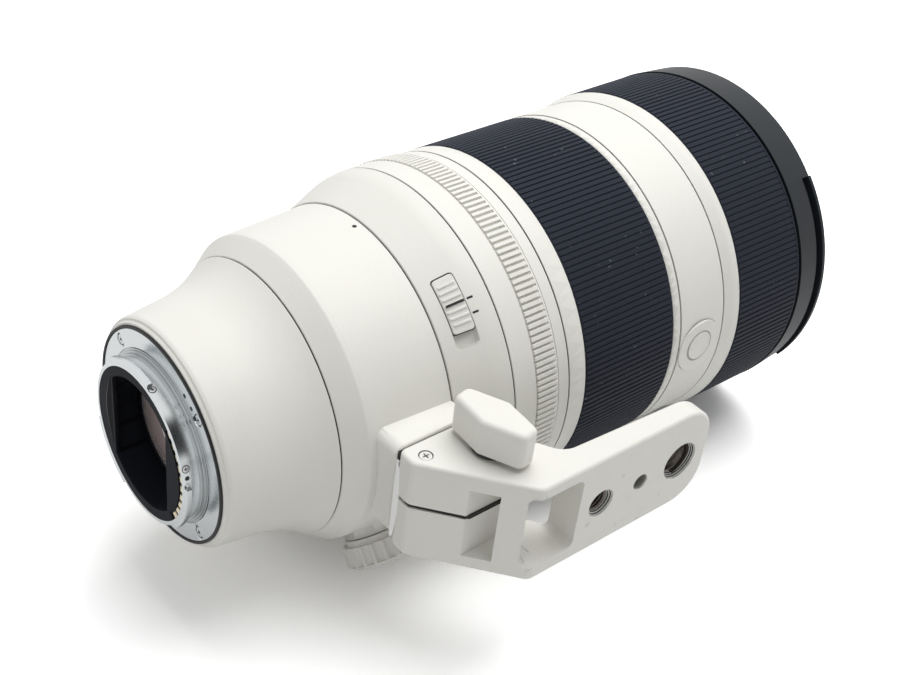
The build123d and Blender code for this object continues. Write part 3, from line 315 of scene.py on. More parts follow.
@dataclass(frozen=True)
class Finish:
    """The look of one surface: even values, and a pattern that varies it."""

    name: str
    color: Color
    roughness: float = 0.5
    metallic: float = 0.0
    coat: float = 0.0
    coat_roughness: float = 0.1
    pattern: Pattern = Pattern.GRAIN
    grain_scale: float = 1700.0
    relief: float = 0.06
    relief_depth: float = 0.0002
    color_drift: float = 0.03
    roughness_drift: float = 0.06
    transmission: float = 0.0
    ior: float = 1.5
    specular: float = 0.5

    @property
    def label(self) -> str:
        """Name of the material, apart from the names that the frame's own materials have."""
        return self.name + "_finish"

    def material(self) -> bpy.types.Material:
        """The finish's material, made once."""
        found = bpy.data.materials.get(self.label)
        return found or self._build()

    def _build(self) -> bpy.types.Material:
        """A material with the finish's pattern on its color, roughness and normal."""
        made = bpy.data.materials.new(self.label)
        made.use_nodes = True
        made.node_tree.nodes.clear()
        painter = Painter(self, made.node_tree)
        {Pattern.GRAIN: painter.grain, Pattern.TURNED: painter.turned, Pattern.DUSTED: painter.dusted,
         Pattern.CLEAR: painter.clear, Pattern.PAINTED_RING_REFLECTIONS: painter.painted_ring_reflections,
         Pattern.WORN: painter.worn}[self.pattern]()
        return made


PAINT = Finish("satin_white_paint", (0.765, 0.755, 0.705), 0.44, coat=0.2, coat_roughness=0.3, relief=0.14)
FOOT_PAINT = Finish("foot_white_paint", (0.755, 0.745, 0.700), 0.46, coat=0.15, coat_roughness=0.3,
                    pattern=Pattern.WORN, relief=0.12, color_drift=0.07)
KNOB_PLASTIC = Finish("knob_plastic", (0.69, 0.68, 0.635), 0.48, relief=0.05)
SWITCH_PLASTIC = Finish("switch_plastic", (0.77, 0.76, 0.715), 0.40, relief=0.03)
GRIP_RUBBER = Finish("grip_rubber", (0.0160, 0.0195, 0.0300), 0.64, pattern=Pattern.DUSTED, relief=0.05,
                     specular=0.22)
SEAL_RUBBER = Finish("seal_rubber", (0.010, 0.010, 0.011), 0.55, pattern=Pattern.DUSTED, relief=0.04)
# Near-black for pieces set low in seams, recesses, holes and the slit: painted shade of those gaps.
SEAM_SHADE_BLACK = Finish("seam_rubber", (0.030, 0.030, 0.029), 0.70, relief=0.02, specular=0.2)
# Mid grey ring round each hold button: painted shade of the groove round the cap.
GROOVE_SHADE_GREY = Finish("grey_rubber", (0.40, 0.40, 0.385), 0.60, relief=0.02, specular=0.3)
FRONT_BLACK = Finish("front_black", (0.0140, 0.0175, 0.0215), 0.42, relief=0.04, specular=0.32)
BAFFLE_BLACK = Finish("baffle_black", (0.0085, 0.0100, 0.0145), 0.60, relief=0.03, specular=0.10)
# Lighter grey on the baffle's raised edge: painted highlight.
RIDGE_HIGHLIGHT_GREY = Finish("ridge_grey", (0.045, 0.047, 0.055), 0.50, relief=0.02)
# Deepest black: painted shade in the focus ring's front gap and in the baffle's crescent.
DEEP_SHADE_BLACK = Finish("deep_black", (0.0015, 0.0015, 0.0020), 0.70, relief=0.02, specular=0.1)
BLACK_METAL = Finish("black_metal", (0.012, 0.012, 0.014), 0.45, pattern=Pattern.TURNED, relief=0.1)
# Black plastic; also painted shade, as the slider bases in the gaps round the sliders and the disc under the
# lever.
BLACK_PLASTIC_AND_SHADE = Finish("black_plastic", (0.016, 0.017, 0.020), 0.42, relief=0.05)
MOUNT_STEEL = Finish("mount_steel", (0.76, 0.79, 0.80), 0.19, metallic=1.0, pattern=Pattern.TURNED,
                     grain_scale=900.0, relief=0.035, color_drift=0.15, roughness_drift=0.08)
BARE_STEEL = Finish("bare_steel", (0.70, 0.70, 0.70), 0.28, metallic=1.0, relief=0.05)
# Dark brownish steel for the bushes' threads and floors, darkened as painted shade deep in the blind holes.
THREAD_STEEL_AND_SHADE = Finish("thread_steel", (0.13, 0.108, 0.098), 0.32, metallic=0.85, relief=0.05)
# A darker copy of the mount's steel for the root steps: painted shade.
STEP_STEEL_SHADED = Finish("step_steel", (0.56, 0.58, 0.59), 0.20, metallic=1.0, pattern=Pattern.TURNED,
                    grain_scale=900.0, relief=0.05, color_drift=0.3)
NICKEL = Finish("nickel", (0.64, 0.64, 0.61), 0.36, metallic=0.20, relief=0.03)
# Dark grey for the pin hole's lining and under the button pads' rims: painted shade.
HOLE_SHADE_GREY = Finish("hole_grey", (0.30, 0.30, 0.28), 0.55, relief=0.03)
# Near-white, not metal, for the steel rail and the jaw's end strip: painted reflection of the white
# surroundings.
RAIL_REFLECTION_WHITE = Finish("rail_silver", (0.98, 0.98, 0.965), 0.40, relief=0.03)
PALE_GOLD = Finish("pale_gold", (0.96, 0.86, 0.62), 0.30, metallic=0.85, relief=0.02)
BLADE_STEEL = Finish("blade_steel", (0.05, 0.05, 0.055), 0.35, metallic=0.6)
MOTOR_STEEL = Finish("motor_steel", (0.32, 0.32, 0.33), 0.4, metallic=0.9)
CONTACT_GOLD = Finish("contact_gold", (0.93, 0.72, 0.36), 0.2, metallic=1.0, relief=0.02)
BOARD_GREEN = Finish("board_green", (0.02, 0.12, 0.06), 0.4)
# Black for printed marks, and also painted shade in the cross recesses and the mount's small holes.
INK_AND_SHADE = Finish("black_ink", (0.012, 0.012, 0.013), 0.5)
FRONT_GLASS = Finish("front_glass", (0.93, 0.97, 1.0), 0.02, coat=0.6, coat_roughness=0.0,
                     pattern=Pattern.CLEAR, roughness_drift=0.01, transmission=1.0, ior=1.6)
# Brownish colour with rings and a pale rim: painted reflection of the coating and of the elements behind it.
REAR_GLASS = Finish("rear_glass", (0.40, 0.325, 0.315), 0.05, coat=0.8, coat_roughness=0.0,
                    pattern=Pattern.PAINTED_RING_REFLECTIONS, transmission=0.10, ior=1.5)

SLOT_FINISH: dict[str, Finish] = {
    "white_paint": PAINT, "knob_white": KNOB_PLASTIC, "switch_white": SWITCH_PLASTIC,
    "grip_rubber": GRIP_RUBBER, "seal_rubber": SEAL_RUBBER, "front_black": FRONT_BLACK,
    "black_metal": BLACK_METAL, "black_plastic": BLACK_PLASTIC_AND_SHADE, "mount_steel": MOUNT_STEEL,
    "bare_steel": BARE_STEEL, "blade_steel": BLADE_STEEL, "motor_steel": MOTOR_STEEL,
    "contact_gold": CONTACT_GOLD, "board_green": BOARD_GREEN, "lens_glass": FRONT_GLASS,
    "rear_glass": REAR_GLASS,
}


def new_object(name: str, mesh: bpy.types.Mesh) -> bpy.types.Object:
    """An object at the origin that holds a mesh."""
    made = bpy.data.objects.new(name, mesh)
    bpy.context.scene.collection.objects.link(made)
    return made


def smooth(mesh: bpy.types.Mesh) -> None:
    """Smooth shading, with its sharp edges left sharp."""
    mesh.shade_smooth()
    mesh.set_sharp_from_angle(angle=SHARP_ANGLE)


def from_bmesh(name: str, shape: bmesh.types.BMesh) -> bpy.types.Object:
    """Turns a bmesh into an object, with its faces outwards.

    Args:
        name: Name of the piece.
        shape: The bmesh, in millimetres. It is freed.

    Returns:
        The object, in metres.
    """
    bmesh.ops.remove_doubles(shape, verts=shape.verts, dist=DOUBLES)
    bmesh.ops.recalc_face_normals(shape, faces=shape.faces)
    bmesh.ops.scale(shape, vec=(MM, MM, MM), verts=shape.verts)
    mesh = bpy.data.meshes.new(name)
    shape.to_mesh(mesh)
    shape.free()
    smooth(mesh)
    return new_object(name, mesh)


def softened(outline: Sequence[tuple[float, ...]], steps: int = 4) -> Outline:
    """Rounds the corners of a closed outline.

    Args:
        outline: Points of (radius, station), or (radius, station, rounding) for a round corner.
        steps: Parts in each rounding.

    Returns:
        The outline's points with the roundings in them.
    """
    points: Outline = []
    count = len(outline)
    for index, corner in enumerate(outline):
        here = Vector(corner[:2])
        if len(corner) < 3 or not corner[2]:
            points.append(tuple(here))
            continue
        before = Vector(outline[index - 1][:2]) - here
        after = Vector(outline[(index + 1) % count][:2]) - here
        reach = min(corner[2], before.length * 0.49, after.length * 0.49)
        start, end = here + before.normalized() * reach, here + after.normalized() * reach
        for step in range(steps + 1):
            t = step / steps
            points.append(tuple(start * (1 - t) ** 2 + here * (2 * t * (1 - t)) + end * t ** 2))
    return points


def arc_through(start: tuple[float, float], middle: tuple[float, float], end: tuple[float, float],
                steps: int = 10) -> Outline:
    """Points on a smooth curve.

    Args:
        start: Its first point.
        middle: A point that it passes through.
        end: Its last point.
        steps: Parts that it is divided into.

    Returns:
        The points, with both ends.
    """
    a, m, b = Vector(start), Vector(middle), Vector(end)
    control = m * 2 - (a + b) / 2
    return [tuple(a * (1 - t) ** 2 + control * (2 * t * (1 - t)) + b * t ** 2)
            for t in (step / steps for step in range(steps + 1))]


def spun(shape: bmesh.types.BMesh, outline: Outline, place: Matrix = OPTICAL, segments: int = 48) -> None:
    """Adds a turned solid to a bmesh.

    Args:
        shape: The bmesh, in millimetres.
        outline: Closed outline of (radius, height) points. Points on the axis become poles.
        place: Place whose Z is the axis.
        segments: Number of sides.
    """
    rings: list[list[bmesh.types.BMVert]] = []
    for step in range(segments):
        turn = FULL_TURN * step / segments
        rings.append([rings[0][index] if rings and not radius else shape.verts.new(
            place @ Vector((radius * math.cos(turn), radius * math.sin(turn), height)))
            for index, (radius, height) in enumerate(outline)])
    for step, ring in enumerate(rings):
        after = rings[(step + 1) % segments]
        for index, corner in enumerate(ring):
            following = (index + 1) % len(ring)
            corners = list(dict.fromkeys((corner, ring[following], after[following], after[index])))
            if len(corners) > 2:
                shape.faces.new(corners)


def lathe(name: str, outline: Sequence[tuple[float, ...]], steps: int = 4) -> bpy.types.Object:
    """A piece turned about the optical axis.

    Args:
        name: Name of the piece.
        outline: Closed outline of (radius, station) points, some with a rounding.
        steps: Parts in each rounding.

    Returns:
        The piece.
    """
    shape = bmesh.new()
    spun(shape, softened(outline, steps), OPTICAL, RING_SIDES)
    return from_bmesh(name, shape)


def disc(name: str, outline: Sequence[tuple[float, ...]], places: Iterable[Matrix],
         segments: int = 48) -> bpy.types.Object:
    """The same turned solid at one or more places.

    Args:
        name: Name of the piece.
        outline: Closed outline of (radius, height) points, some with a rounding.
        places: Places whose Z is the solid's axis.
        segments: Number of sides.

    Returns:
        One piece with every solid.
    """
    shape = bmesh.new()
    for place in places:
        spun(shape, softened(outline), place, segments)
    return from_bmesh(name, shape)


def loft(shape: bmesh.types.BMesh, rows: Sequence[Sequence[bmesh.types.BMVert]]) -> None:
    """Joins closed rows of corners with faces, and closes the first and the last."""
    for here, after in zip(rows, rows[1:]):
        for index in range(len(here)):
            following = (index + 1) % len(here)
            shape.faces.new((here[index], here[following], after[following], after[index]))
    shape.faces.new(rows[0])
    shape.faces.new(rows[-1])


def prism(shape: bmesh.types.BMesh, outline: Outline, low: float, high: float,
          place: Matrix = Matrix.Identity(4)) -> None:
    """Adds a closed prism to a bmesh: an outline in X and Y, between two heights, then placed."""
    loft(shape, [[shape.verts.new(place @ Vector((x, y, height))) for x, y in outline]
                 for height in (low, high)])


def prisms(name: str, outline: Outline, low: float, high: float,
           places: Iterable[Matrix] = (Matrix.Identity(4),)) -> bpy.types.Object:
    """The same prism at one or more places.

    Args:
        name: Name of the piece.
        outline: Outline in X and Y.
        low: Height of its floor.
        high: Height of its roof.
        places: Where the prisms go.

    Returns:
        One piece with every prism.
    """
    shape = bmesh.new()
    for place in places:
        prism(shape, outline, low, high, place)
    return from_bmesh(name, shape)


def cross_outline(reach: float, half: float) -> Outline:
    """Outline of a cross-head recess."""
    return [(reach, -half), (reach, half), (half, half), (half, reach), (-half, reach), (-half, half),
            (-reach, half), (-reach, -half), (-half, -half), (-half, -reach), (half, -reach), (half, -half)]


@dataclass(frozen=True)
class Surface:
    """Cone or cylinder round the optical axis that small plates follow."""

    rear: float
    rear_radius: float
    front: float
    front_radius: float

    def radius(self, station: float) -> float:
        """Radius at a station."""
        share = (station - self.rear) / (self.front - self.rear)
        return self.rear_radius + (self.front_radius - self.rear_radius) * share

    def point(self, station: float, angle: float, height: float) -> Vector:
        """Place at a station, an angle in degrees and a height over the surface."""
        radius, turn = self.radius(station) + height, math.radians(angle)
        return Vector((radius * math.cos(turn), station, -radius * math.sin(turn)))

    def plate(self, shape: bmesh.types.BMesh, station: float, angle: float, length: float, sweep: float,
              low: float, high: float, corner: float = 0.0, edge: float = 0.0) -> None:
        """Adds a closed plate that follows the surface.

        Args:
            shape: The bmesh, in millimetres.
            station: Station of its middle.
            angle: Angle of its middle, in degrees.
            length: Length along the optical axis.
            sweep: Angle that it covers, in degrees.
            low: Height of its underside over the surface.
            high: Height of its top.
            corner: Radius of its four corners.
            edge: Chamfer round its top.
        """
        middle = self.radius(station)
        half = math.radians(sweep) * middle / 2
        count = max(2, round(sweep))
        stops = [-half + 2 * half * step / count for step in range(count + 1)]
        for reach in filter(None, (corner, edge)):
            stops += [side * (half - reach * share) for side in (-1, 1) for share in (0.1, 0.3, 0.6, 1.0)]
        rows = []
        for along in sorted(set(round(stop, 6) for stop in stops)):
            inset = max(0.0, half - abs(along))
            width = length / 2
            if inset < corner:
                width += math.sqrt(max(0.0, corner ** 2 - (corner - inset) ** 2)) - corner
            top = high - max(0.0, edge - inset)
            turn = angle + math.degrees(along / middle)
            rows.append([shape.verts.new(self.point(station + across, turn, height)) for across, height in (
                (-width, low), (width, low), (width, top - edge), (width - edge, top), (edge - width, top),
                (-width, top - edge))])
        loft(shape, rows)


def bevelled(target: bpy.types.Object, width: float) -> bpy.types.Object:
    """Gives a piece's sharp edges a small rounding.

    Args:
        target: The piece.
        width: Width of the rounding, in millimetres.

    Returns:
        The same piece.
    """
    bevel = target.modifiers.new("edges", "BEVEL")
    bevel.width = width * MM
    bevel.segments = 2
    bevel.limit_method = "ANGLE"
    bevel.angle_limit = BEVEL_ANGLE
    bevel.harden_normals = False
    baked(target)
    smooth(target.data)
    return target


def crisp(target: bpy.types.Object) -> bpy.types.Object:
    """Leans a piece's normals towards its larger faces, so that they stay flat beside roundings."""
    weigh = target.modifiers.new("crisp", "WEIGHTED_NORMAL")
    weigh.mode = "FACE_AREA"
    weigh.keep_sharp = True
    return baked(target)


def baked(target: bpy.types.Object) -> bpy.types.Object:
    """Turns the result of a piece's modifiers into its plain mesh."""
    bpy.context.view_layer.update()
    evaluated = target.evaluated_get(bpy.context.evaluated_depsgraph_get())
    mesh = bpy.data.meshes.new_from_object(evaluated)
    target.modifiers.clear()
    target.data = mesh
    return target


def cut(target: bpy.types.Object, tool: bpy.types.Object) -> bpy.types.Object:
    """Cuts one piece with another.

    Args:
        target: The piece.
        tool: The cutting shape, which is removed.

    Returns:
        The same piece.
    """
    boolean = target.modifiers.new("cut", "BOOLEAN")
    boolean.object = tool
    boolean.operation = "DIFFERENCE"
    boolean.solver = "EXACT"
    baked(target)
    bpy.data.objects.remove(tool)
    return target


def axis_turn(angle: float) -> Matrix:
    """Turn round the optical axis by an angle in degrees, from +X towards -Z."""
    return Matrix.Rotation(math.radians(angle), 4, "Y")


def outward(angle: float, radius: float, station: float) -> Matrix:
    """Place on the lens's side whose Z points outwards and whose X runs along the optical axis."""
    face = Matrix(((0, 0, 1, 0), (1, 0, 0, 0), (0, 1, 0, 0), (0, 0, 0, 1)))
    return axis_turn(angle) @ Matrix.Translation((radius, station, 0)) @ face


def cad_copy(node: str, width: float = 0.0, joined: float = 0.0) -> bpy.types.Object:
    """A merged and smoothed copy of a CAD node.

    Args:
        node: The node's name.
        width: Rounding of its sharp edges, in millimetres.
        joined: Faces that differ by less than this angle, in degrees, become one.

    Returns:
        The copy.
    """
    shape = bmesh.new()
    shape.from_mesh(frame["nodes"][node].data)
    bmesh.ops.remove_doubles(shape, verts=shape.verts, dist=CAD_DOUBLES)
    if width or joined:
        bmesh.ops.dissolve_limit(shape, angle_limit=math.radians(joined or 0.6), verts=shape.verts,
                                 edges=shape.edges)
    mesh = bpy.data.meshes.new(node + "_skin")
    shape.to_mesh(mesh)
    shape.free()
    smooth(mesh)
    made = new_object(node + "_skin", mesh)
    return bevelled(made, width) if width else made


class PieceTree:
    """Geometry Nodes tree with a named input for each of its sizes."""

    def __init__(self, name: str, sizes: dict[str, str]) -> None:
        """Makes the tree's inputs and output.

        Args:
            name: Name of the tree.
            sizes: Kind of socket for each size.
        """
        self.group = bpy.data.node_groups.new(name, "GeometryNodeTree")
        self.sockets: dict[str, str] = {}
        for size, kind in {"Geometry": "Geometry", **sizes, "Material": "Material"}.items():
            socket = self.group.interface.new_socket(name=size, in_out="INPUT",
                                                     socket_type="NodeSocket" + kind)
            self.sockets[size] = socket.identifier
        self.group.interface.new_socket(name="Geometry", in_out="OUTPUT", socket_type="NodeSocketGeometry")
        self.maker = TreeMaker(self.group)
        self.given = self.maker.node("NodeGroupInput")

    def size(self, name: str) -> Signal:
        """The value of a size."""
        return Signal(self.maker, self.given.outputs[name])

    def close(self, made: bpy.types.Node) -> None:
        """Makes the copies real, gives them the material and leads them to the output."""
        real = self.maker.node("GeometryNodeRealizeInstances", {}, {"Geometry": made.outputs[0]})
        dressed = self.maker.node("GeometryNodeSetMaterial", {}, {
            "Geometry": real.outputs[0], "Material": self.given.outputs["Material"]})
        self.maker.node("NodeGroupOutput", {}, {0: dressed.outputs[0]})

    def run(self, target: bpy.types.Object, finish: Finish, values: dict[str, float]) -> bpy.types.Object:
        """Runs the tree on a piece.

        Args:
            target: The piece.
            finish: The finish of what the tree makes.
            values: The tree's sizes.

        Returns:
            The same piece, with the result as its plain mesh.
        """
        modifier = target.modifiers.new(self.group.name, "NODES")
        modifier.node_group = self.group
        for name, value in {**values, "Material": finish.material()}.items():
            modifier[self.sockets[name]] = value
        return baked(target)


class RingArray(PieceTree):
    """Repeats a mesh round the optical axis."""

    def __init__(self) -> None:
        """Makes the tree."""
        super().__init__("ring_array", {"Count": "Int", "Step Angle": "Float"})
        points = self.maker.node("GeometryNodePoints", {}, {"Count": self.given.outputs["Count"]})
        angle = self.maker.add("GeometryNodeInputIndex") * self.size("Step Angle")
        turn = self.maker.add("ShaderNodeCombineXYZ", {}, {"Y": angle})
        self.close(self.maker.node("GeometryNodeInstanceOnPoints", {}, {
            "Points": points.outputs[0], "Instance": self.given.outputs["Geometry"], "Rotation": turn}))

    def apply(self, target: bpy.types.Object, count: int, finish: Finish) -> bpy.types.Object:
        """Spreads copies of a piece's mesh evenly round the axis.

        Args:
            target: The piece, with one copy of the mesh.
            count: Number of copies.
            finish: The finish of the copies.

        Returns:
            The same piece with the realized copies as its mesh.
        """
        self.run(target, finish, {"Count": count, "Step Angle": FULL_TURN / count})
        smooth(target.data)
        return target


class ThreadTree(PieceTree):
    """Winds a ridge round an axis, for a screw thread."""

    ridge_share: float = 0.42

    def __init__(self) -> None:
        """Makes the tree."""
        super().__init__("thread", {"Turns": "Float", "Radius": "Float", "Pitch": "Float", "Ridge": "Float"})
        turns, radius = self.size("Turns"), self.size("Radius")
        spiral = self.maker.node("GeometryNodeCurveSpiral", {}, {
            "Resolution": 40, "Rotations": turns, "Start Radius": radius, "End Radius": radius,
            "Height": turns * self.size("Pitch")})
        profile = self.maker.node("GeometryNodeCurvePrimitiveCircle", {}, {
            "Resolution": 4, "Radius": self.size("Ridge")})
        self.close(self.maker.node("GeometryNodeCurveToMesh", {}, {
            "Curve": spiral.outputs[0], "Profile Curve": profile.outputs[0], "Fill Caps": True}))

    def build(self, name: str, radius: float, pitch: float, length: float, finish: Finish,
              place: Matrix) -> bpy.types.Object:
        """A thread's ridge along Z of a place.

        Args:
            name: Name of the piece.
            radius: Radius of the thread, in millimetres as the next two.
            pitch: Rise of one turn.
            length: Length of the thread.
            finish: The ridge's finish.
            place: Where the thread starts.

        Returns:
            The ridge.
        """
        made = new_object(name, bpy.data.meshes.new(name))
        self.run(made, finish, {"Turns": length / pitch, "Radius": radius * MM, "Pitch": pitch * MM,
                                "Ridge": pitch * MM * self.ridge_share})
        metres = place.copy()
        metres.translation *= MM
        made.data.transform(metres)
        smooth(made.data)
        return made


class Workshop:
    """Shared trees, and the last step of every piece."""

    def __init__(self) -> None:
        """Makes the trees."""
        self.ring_array = RingArray()
        self.thread = ThreadTree()
        self.dressed: set[str] = set()

    def settle(self, piece: bpy.types.Object, body: str, slot: str, nodes: Iterable[str] = (),
               finish: Finish | None = None) -> bpy.types.Object:
        """Gives a piece its finish, hangs it on its body and hides the CAD nodes that it stands for.

        Args:
            piece: The piece.
            body: The body that it rides on.
            slot: The material slot of the record that it belongs to.
            nodes: The CAD nodes that it stands for.
            finish: Its finish, if not the slot's own.

        Returns:
            The same piece.
        """
        material = (finish or SLOT_FINISH[slot]).material()
        crisp(piece)
        piece.data.materials.clear()
        piece.data.materials.append(material)
        for polygon in piece.data.polygons:
            polygon.material_index = 0
        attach(piece, body)
        if nodes:
            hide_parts(*nodes)
            self.dressed.update(nodes)
        log.info("%s: %d faces on %s", piece.name, len(piece.data.polygons), body)
        return piece

    def skin(self, node: str, width: float = 0.0, finish: Finish | None = None,
             joined: float = 0.0) -> bpy.types.Object:
        """A smoothed copy of a CAD node stands for it."""
        return self.settle(cad_copy(node, width, joined), BODY_OF[node], SLOT_OF[node], (node,), finish)


BODY_OF: dict[str, str] = {node: body for body, nodes in frame["record"]["behaviour"]["bodies"].items()
                           for node in nodes}
SLOT_OF: dict[str, str] = {row["node"]: row["material_slot"] for row in frame["record"]["subparts"]}


@dataclass
class Stations:
    """Distances of the outer seams from the flange face, and shared radii, in millimetres."""

    rear_seam: float = 28.8
    collar_seam: float = 59.6
    aperture_rear: float = 75.6
    aperture_front: float = 94.9
    zoom_front: float = 137.9
    button_front: float = 155.6
    focus_front: float = 187.9
    lens_front: float = 200.0
    half_seam: float = 0.2
    bore: float = 45.55
    button_at: float = 146.22
    pad_face: float = 49.8
    button_angles: tuple[float, ...] = (-2.4, 87.6, 177.6)


@dataclass
class Shells:
    """The painted fixed shells of the barrel, and dark rings low in the seams between the rings, painted
    shade of the gaps.
    """

    shop: Workshop
    at: Stations
    rear_front_radius: float = 38.5
    waist_radius: float = 32.6
    waist_at: float = 13.0
    # Width and depth of the dark rings of painted shade in the seams.
    shade_half: float = 0.17
    shade_depth: float = 1.2
    filter_radius: float = 47.5
    filter_pitch: float = 0.75
    filter_length: float = 3.6
    filter_from_front: float = 4.3

    def build(self) -> None:
        """Every shell, and the dark rings of painted shade in the seams."""
        self.rear_barrel()
        self.shop.skin("button_barrel", 0.25)
        self.shop.skin("front_barrel", 0.12)
        self.shade_rings()
        self.filter_thread()

    def rear_barrel(self) -> None:
        """Rear housing with its waist, and the bearing tube that the collar turns on."""
        front = self.at.rear_seam - self.at.half_seam
        tube_front = self.at.collar_seam - self.at.half_seam
        curve = arc_through((self.waist_radius, self.waist_at), (34.6, 21.3), (self.rear_front_radius, front))
        outline = [(29.29, 1.5), (29.29, 0.35, 0.1), (29.85, 0.35, 0.2), (30.3, 1.2, 0.2), (30.75, 1.3, 0.3),
                   (31.2, 2.1, 0.6), *curve[:-1],
                   (self.rear_front_radius, front, 0.3), (36.45, front), (36.45, tube_front),
                   (34.25, tube_front), (34.25, 28.8), (29.6, 11.4), (29.6, 5.23), (24.8, 5.23),
                   (24.8, 2.63), (28.63, 2.63), (28.63, 1.5)]
        piece = lathe("rear_housing", outline)
        self.shop.settle(piece, "barrel", "white_paint", ("rear_barrel",))

    def shade_rings(self) -> None:
        """Dark ring low in each seam: painted shade of the gap between the rings."""
        shape = bmesh.new()
        for station, top in ((self.at.rear_seam, 38.25), (self.at.collar_seam, 43.75),
                             (self.at.aperture_rear, 49.4), (self.at.aperture_front, 49.1),
                             (self.at.zoom_front, 49.0), (self.at.button_front, 49.25),
                             (self.at.focus_front, 49.9)):
            low, rear, front = top - self.shade_depth, station - self.shade_half, station + self.shade_half
            spun(shape, [(low, rear), (top, rear), (top, front), (low, front)], OPTICAL, RING_SIDES)
        self.shop.settle(from_bmesh("seam_shade_rings", shape), "barrel", "seal_rubber", (), SEAM_SHADE_BLACK)

    def filter_thread(self) -> None:
        """Fine thread in the front bore."""
        place = Matrix.Translation((0, self.at.lens_front - self.filter_from_front, 0)) @ OPTICAL
        piece = self.shop.thread.build("filter_thread", self.filter_radius, self.filter_pitch,
                                       self.filter_length, FRONT_BLACK, place)
        self.shop.settle(piece, "barrel", "front_black")


@dataclass
class Grips:
    """Turning rings: the knurled aperture ring, and the zoom and focus rings with their rubbers."""

    shop: Workshop
    at: Stations
    knurl_rear: float = 83.0
    knurl_front: float = 90.4
    knurl_root: float = 49.0
    knurl_crest: float = 50.0
    knurl_count: int = 180
    rib_count: int = 184
    groove: float = 0.4
    rib_height: float = 0.36
    rib_inset: float = 0.3

    def build(self) -> None:
        """Every turning ring."""
        self.aperture_ring()
        self.zoom_ring()
        self.focus_ring()

    def ribs(self, name: str, count: int, stations: tuple[float, float], roots: tuple[float, float],
             height: float, root_width: float, crest_width: float, end: float,
             finish: Finish) -> bpy.types.Object:
        """Straight ribs round a ring.

        Args:
            name: Name of the piece.
            count: Number of ribs.
            stations: Rear and front ends.
            roots: Radius of the rib's foot at each end.
            height: Height over the foot.
            root_width: Width at the foot.
            crest_width: Width at the crest.
            end: Length over which each end slopes down.
            finish: The ribs' finish.

        Returns:
            The realized ribs.
        """
        shape = bmesh.new()
        rings = []
        rear, front = stations
        for station, share in ((rear, 0.0), (rear + end, 1.0), (front - end, 1.0), (front, 0.0)):
            t = (station - rear) / (front - rear)
            root = roots[0] + (roots[1] - roots[0]) * t
            top = root + height * share
            shoulder = root + height * share * 0.8
            rings.append([shape.verts.new((radius, station, width / 2)) for radius, width in (
                (root - 0.2, -root_width), (shoulder, -root_width + (root_width - crest_width) * 0.5),
                (top, -crest_width), (top, crest_width),
                (shoulder, root_width - (root_width - crest_width) * 0.5), (root - 0.2, root_width))])
        loft(shape, rings)
        return self.shop.ring_array.apply(from_bmesh(name, shape), count, finish)

    def aperture_ring(self) -> None:
        """White ring with fine straight knurls, and a thin groove in front of them with a dark ring in it,
        painted shade.
        """
        rear = self.at.aperture_rear + self.at.half_seam
        front = self.at.aperture_front - self.at.half_seam
        groove = self.knurl_front + 0.55
        outline = [(self.at.bore, rear), (49.7, rear, 0.3), (49.7, self.knurl_rear, 0.15),
                   (self.knurl_root, self.knurl_rear), (self.knurl_root, self.knurl_front),
                   (49.4, self.knurl_front, 0.1), (49.4, groove), (49.1, groove), (49.1, groove + 0.16),
                   (49.4, groove + 0.16), (49.4, front, 0.3), (self.at.bore, front)]
        base = lathe("aperture_ring_body", outline)
        self.shop.settle(base, "aperture", "white_paint", ("aperture_ring",))
        # Dark ring deep in the groove: painted shade.
        line = lathe("aperture_groove_shade", [(48.9, groove - 0.02), (49.2, groove - 0.02),
                                              (49.2, groove + 0.18), (48.9, groove + 0.18)])
        self.shop.settle(line, "aperture", "seal_rubber", (), SEAM_SHADE_BLACK)
        pitch = FULL_TURN * self.knurl_root / self.knurl_count
        teeth = self.ribs("aperture_knurls", self.knurl_count, (self.knurl_rear, self.knurl_front),
                          (self.knurl_root, self.knurl_root), self.knurl_crest - self.knurl_root,
                          pitch * 0.74, pitch * 0.52, 0.35, PAINT)
        self.shop.settle(teeth, "aperture", "white_paint")

    def rubber(self, ring: str, seat: float, stations: tuple[float, float], roots: tuple[float, float],
               smooth_end: float = 0.0) -> None:
        """Ribbed rubber sleeve of a ring.

        Args:
            ring: Name of the ring, which is also its body.
            seat: Radius under the rubber.
            stations: Rear and front ends.
            roots: Radius between the ribs at each end.
            smooth_end: Length without ribs at the front end.
        """
        rear, front = stations
        outline = [(seat, rear), (roots[0], rear, 0.2), (roots[1], front - smooth_end)]
        if smooth_end:
            outline += [(roots[1] + 0.25, front - smooth_end), (roots[1] + 0.25, front, 0.2)]
        base = lathe(f"{ring}_rubber_base", [*outline, (seat, front)])
        self.shop.settle(base, ring, "grip_rubber", (f"{ring}_rubber",))
        pitch = FULL_TURN * roots[0] / self.rib_count
        ends = (rear + self.rib_inset, front - (smooth_end or self.rib_inset))
        ribs = self.ribs(f"{ring}_rubber_ribs", self.rib_count, ends, roots, self.rib_height,
                         pitch * 0.84, pitch * 0.60, 0.25, GRIP_RUBBER)
        self.shop.settle(ribs, ring, "grip_rubber")

    def zoom_ring(self) -> None:
        """White ends, with the ribbed rubber between them."""
        self.shop.skin("zoom_ring")
        self.rubber("zoom", 48.13, (100.8, 135.0), (49.15, 49.15))

    def focus_ring(self) -> None:
        """White rear cone, with the ribbed rubber in front of it."""
        self.shop.skin("focus_ring")
        front = self.at.focus_front - self.at.half_seam
        self.rubber("focus", 49.73, (160.7, front - self.groove), (50.75, 50.9), 0.8)
        rear = front - self.groove - 0.1
        # Black ring in the gap in front of the rubber: painted shade.
        line = lathe("focus_groove_shade", [(49.74, rear), (50.3, rear), (50.3, front), (49.74, front)])
        self.shop.settle(line, "focus", "grip_rubber", (), DEEP_SHADE_BLACK)


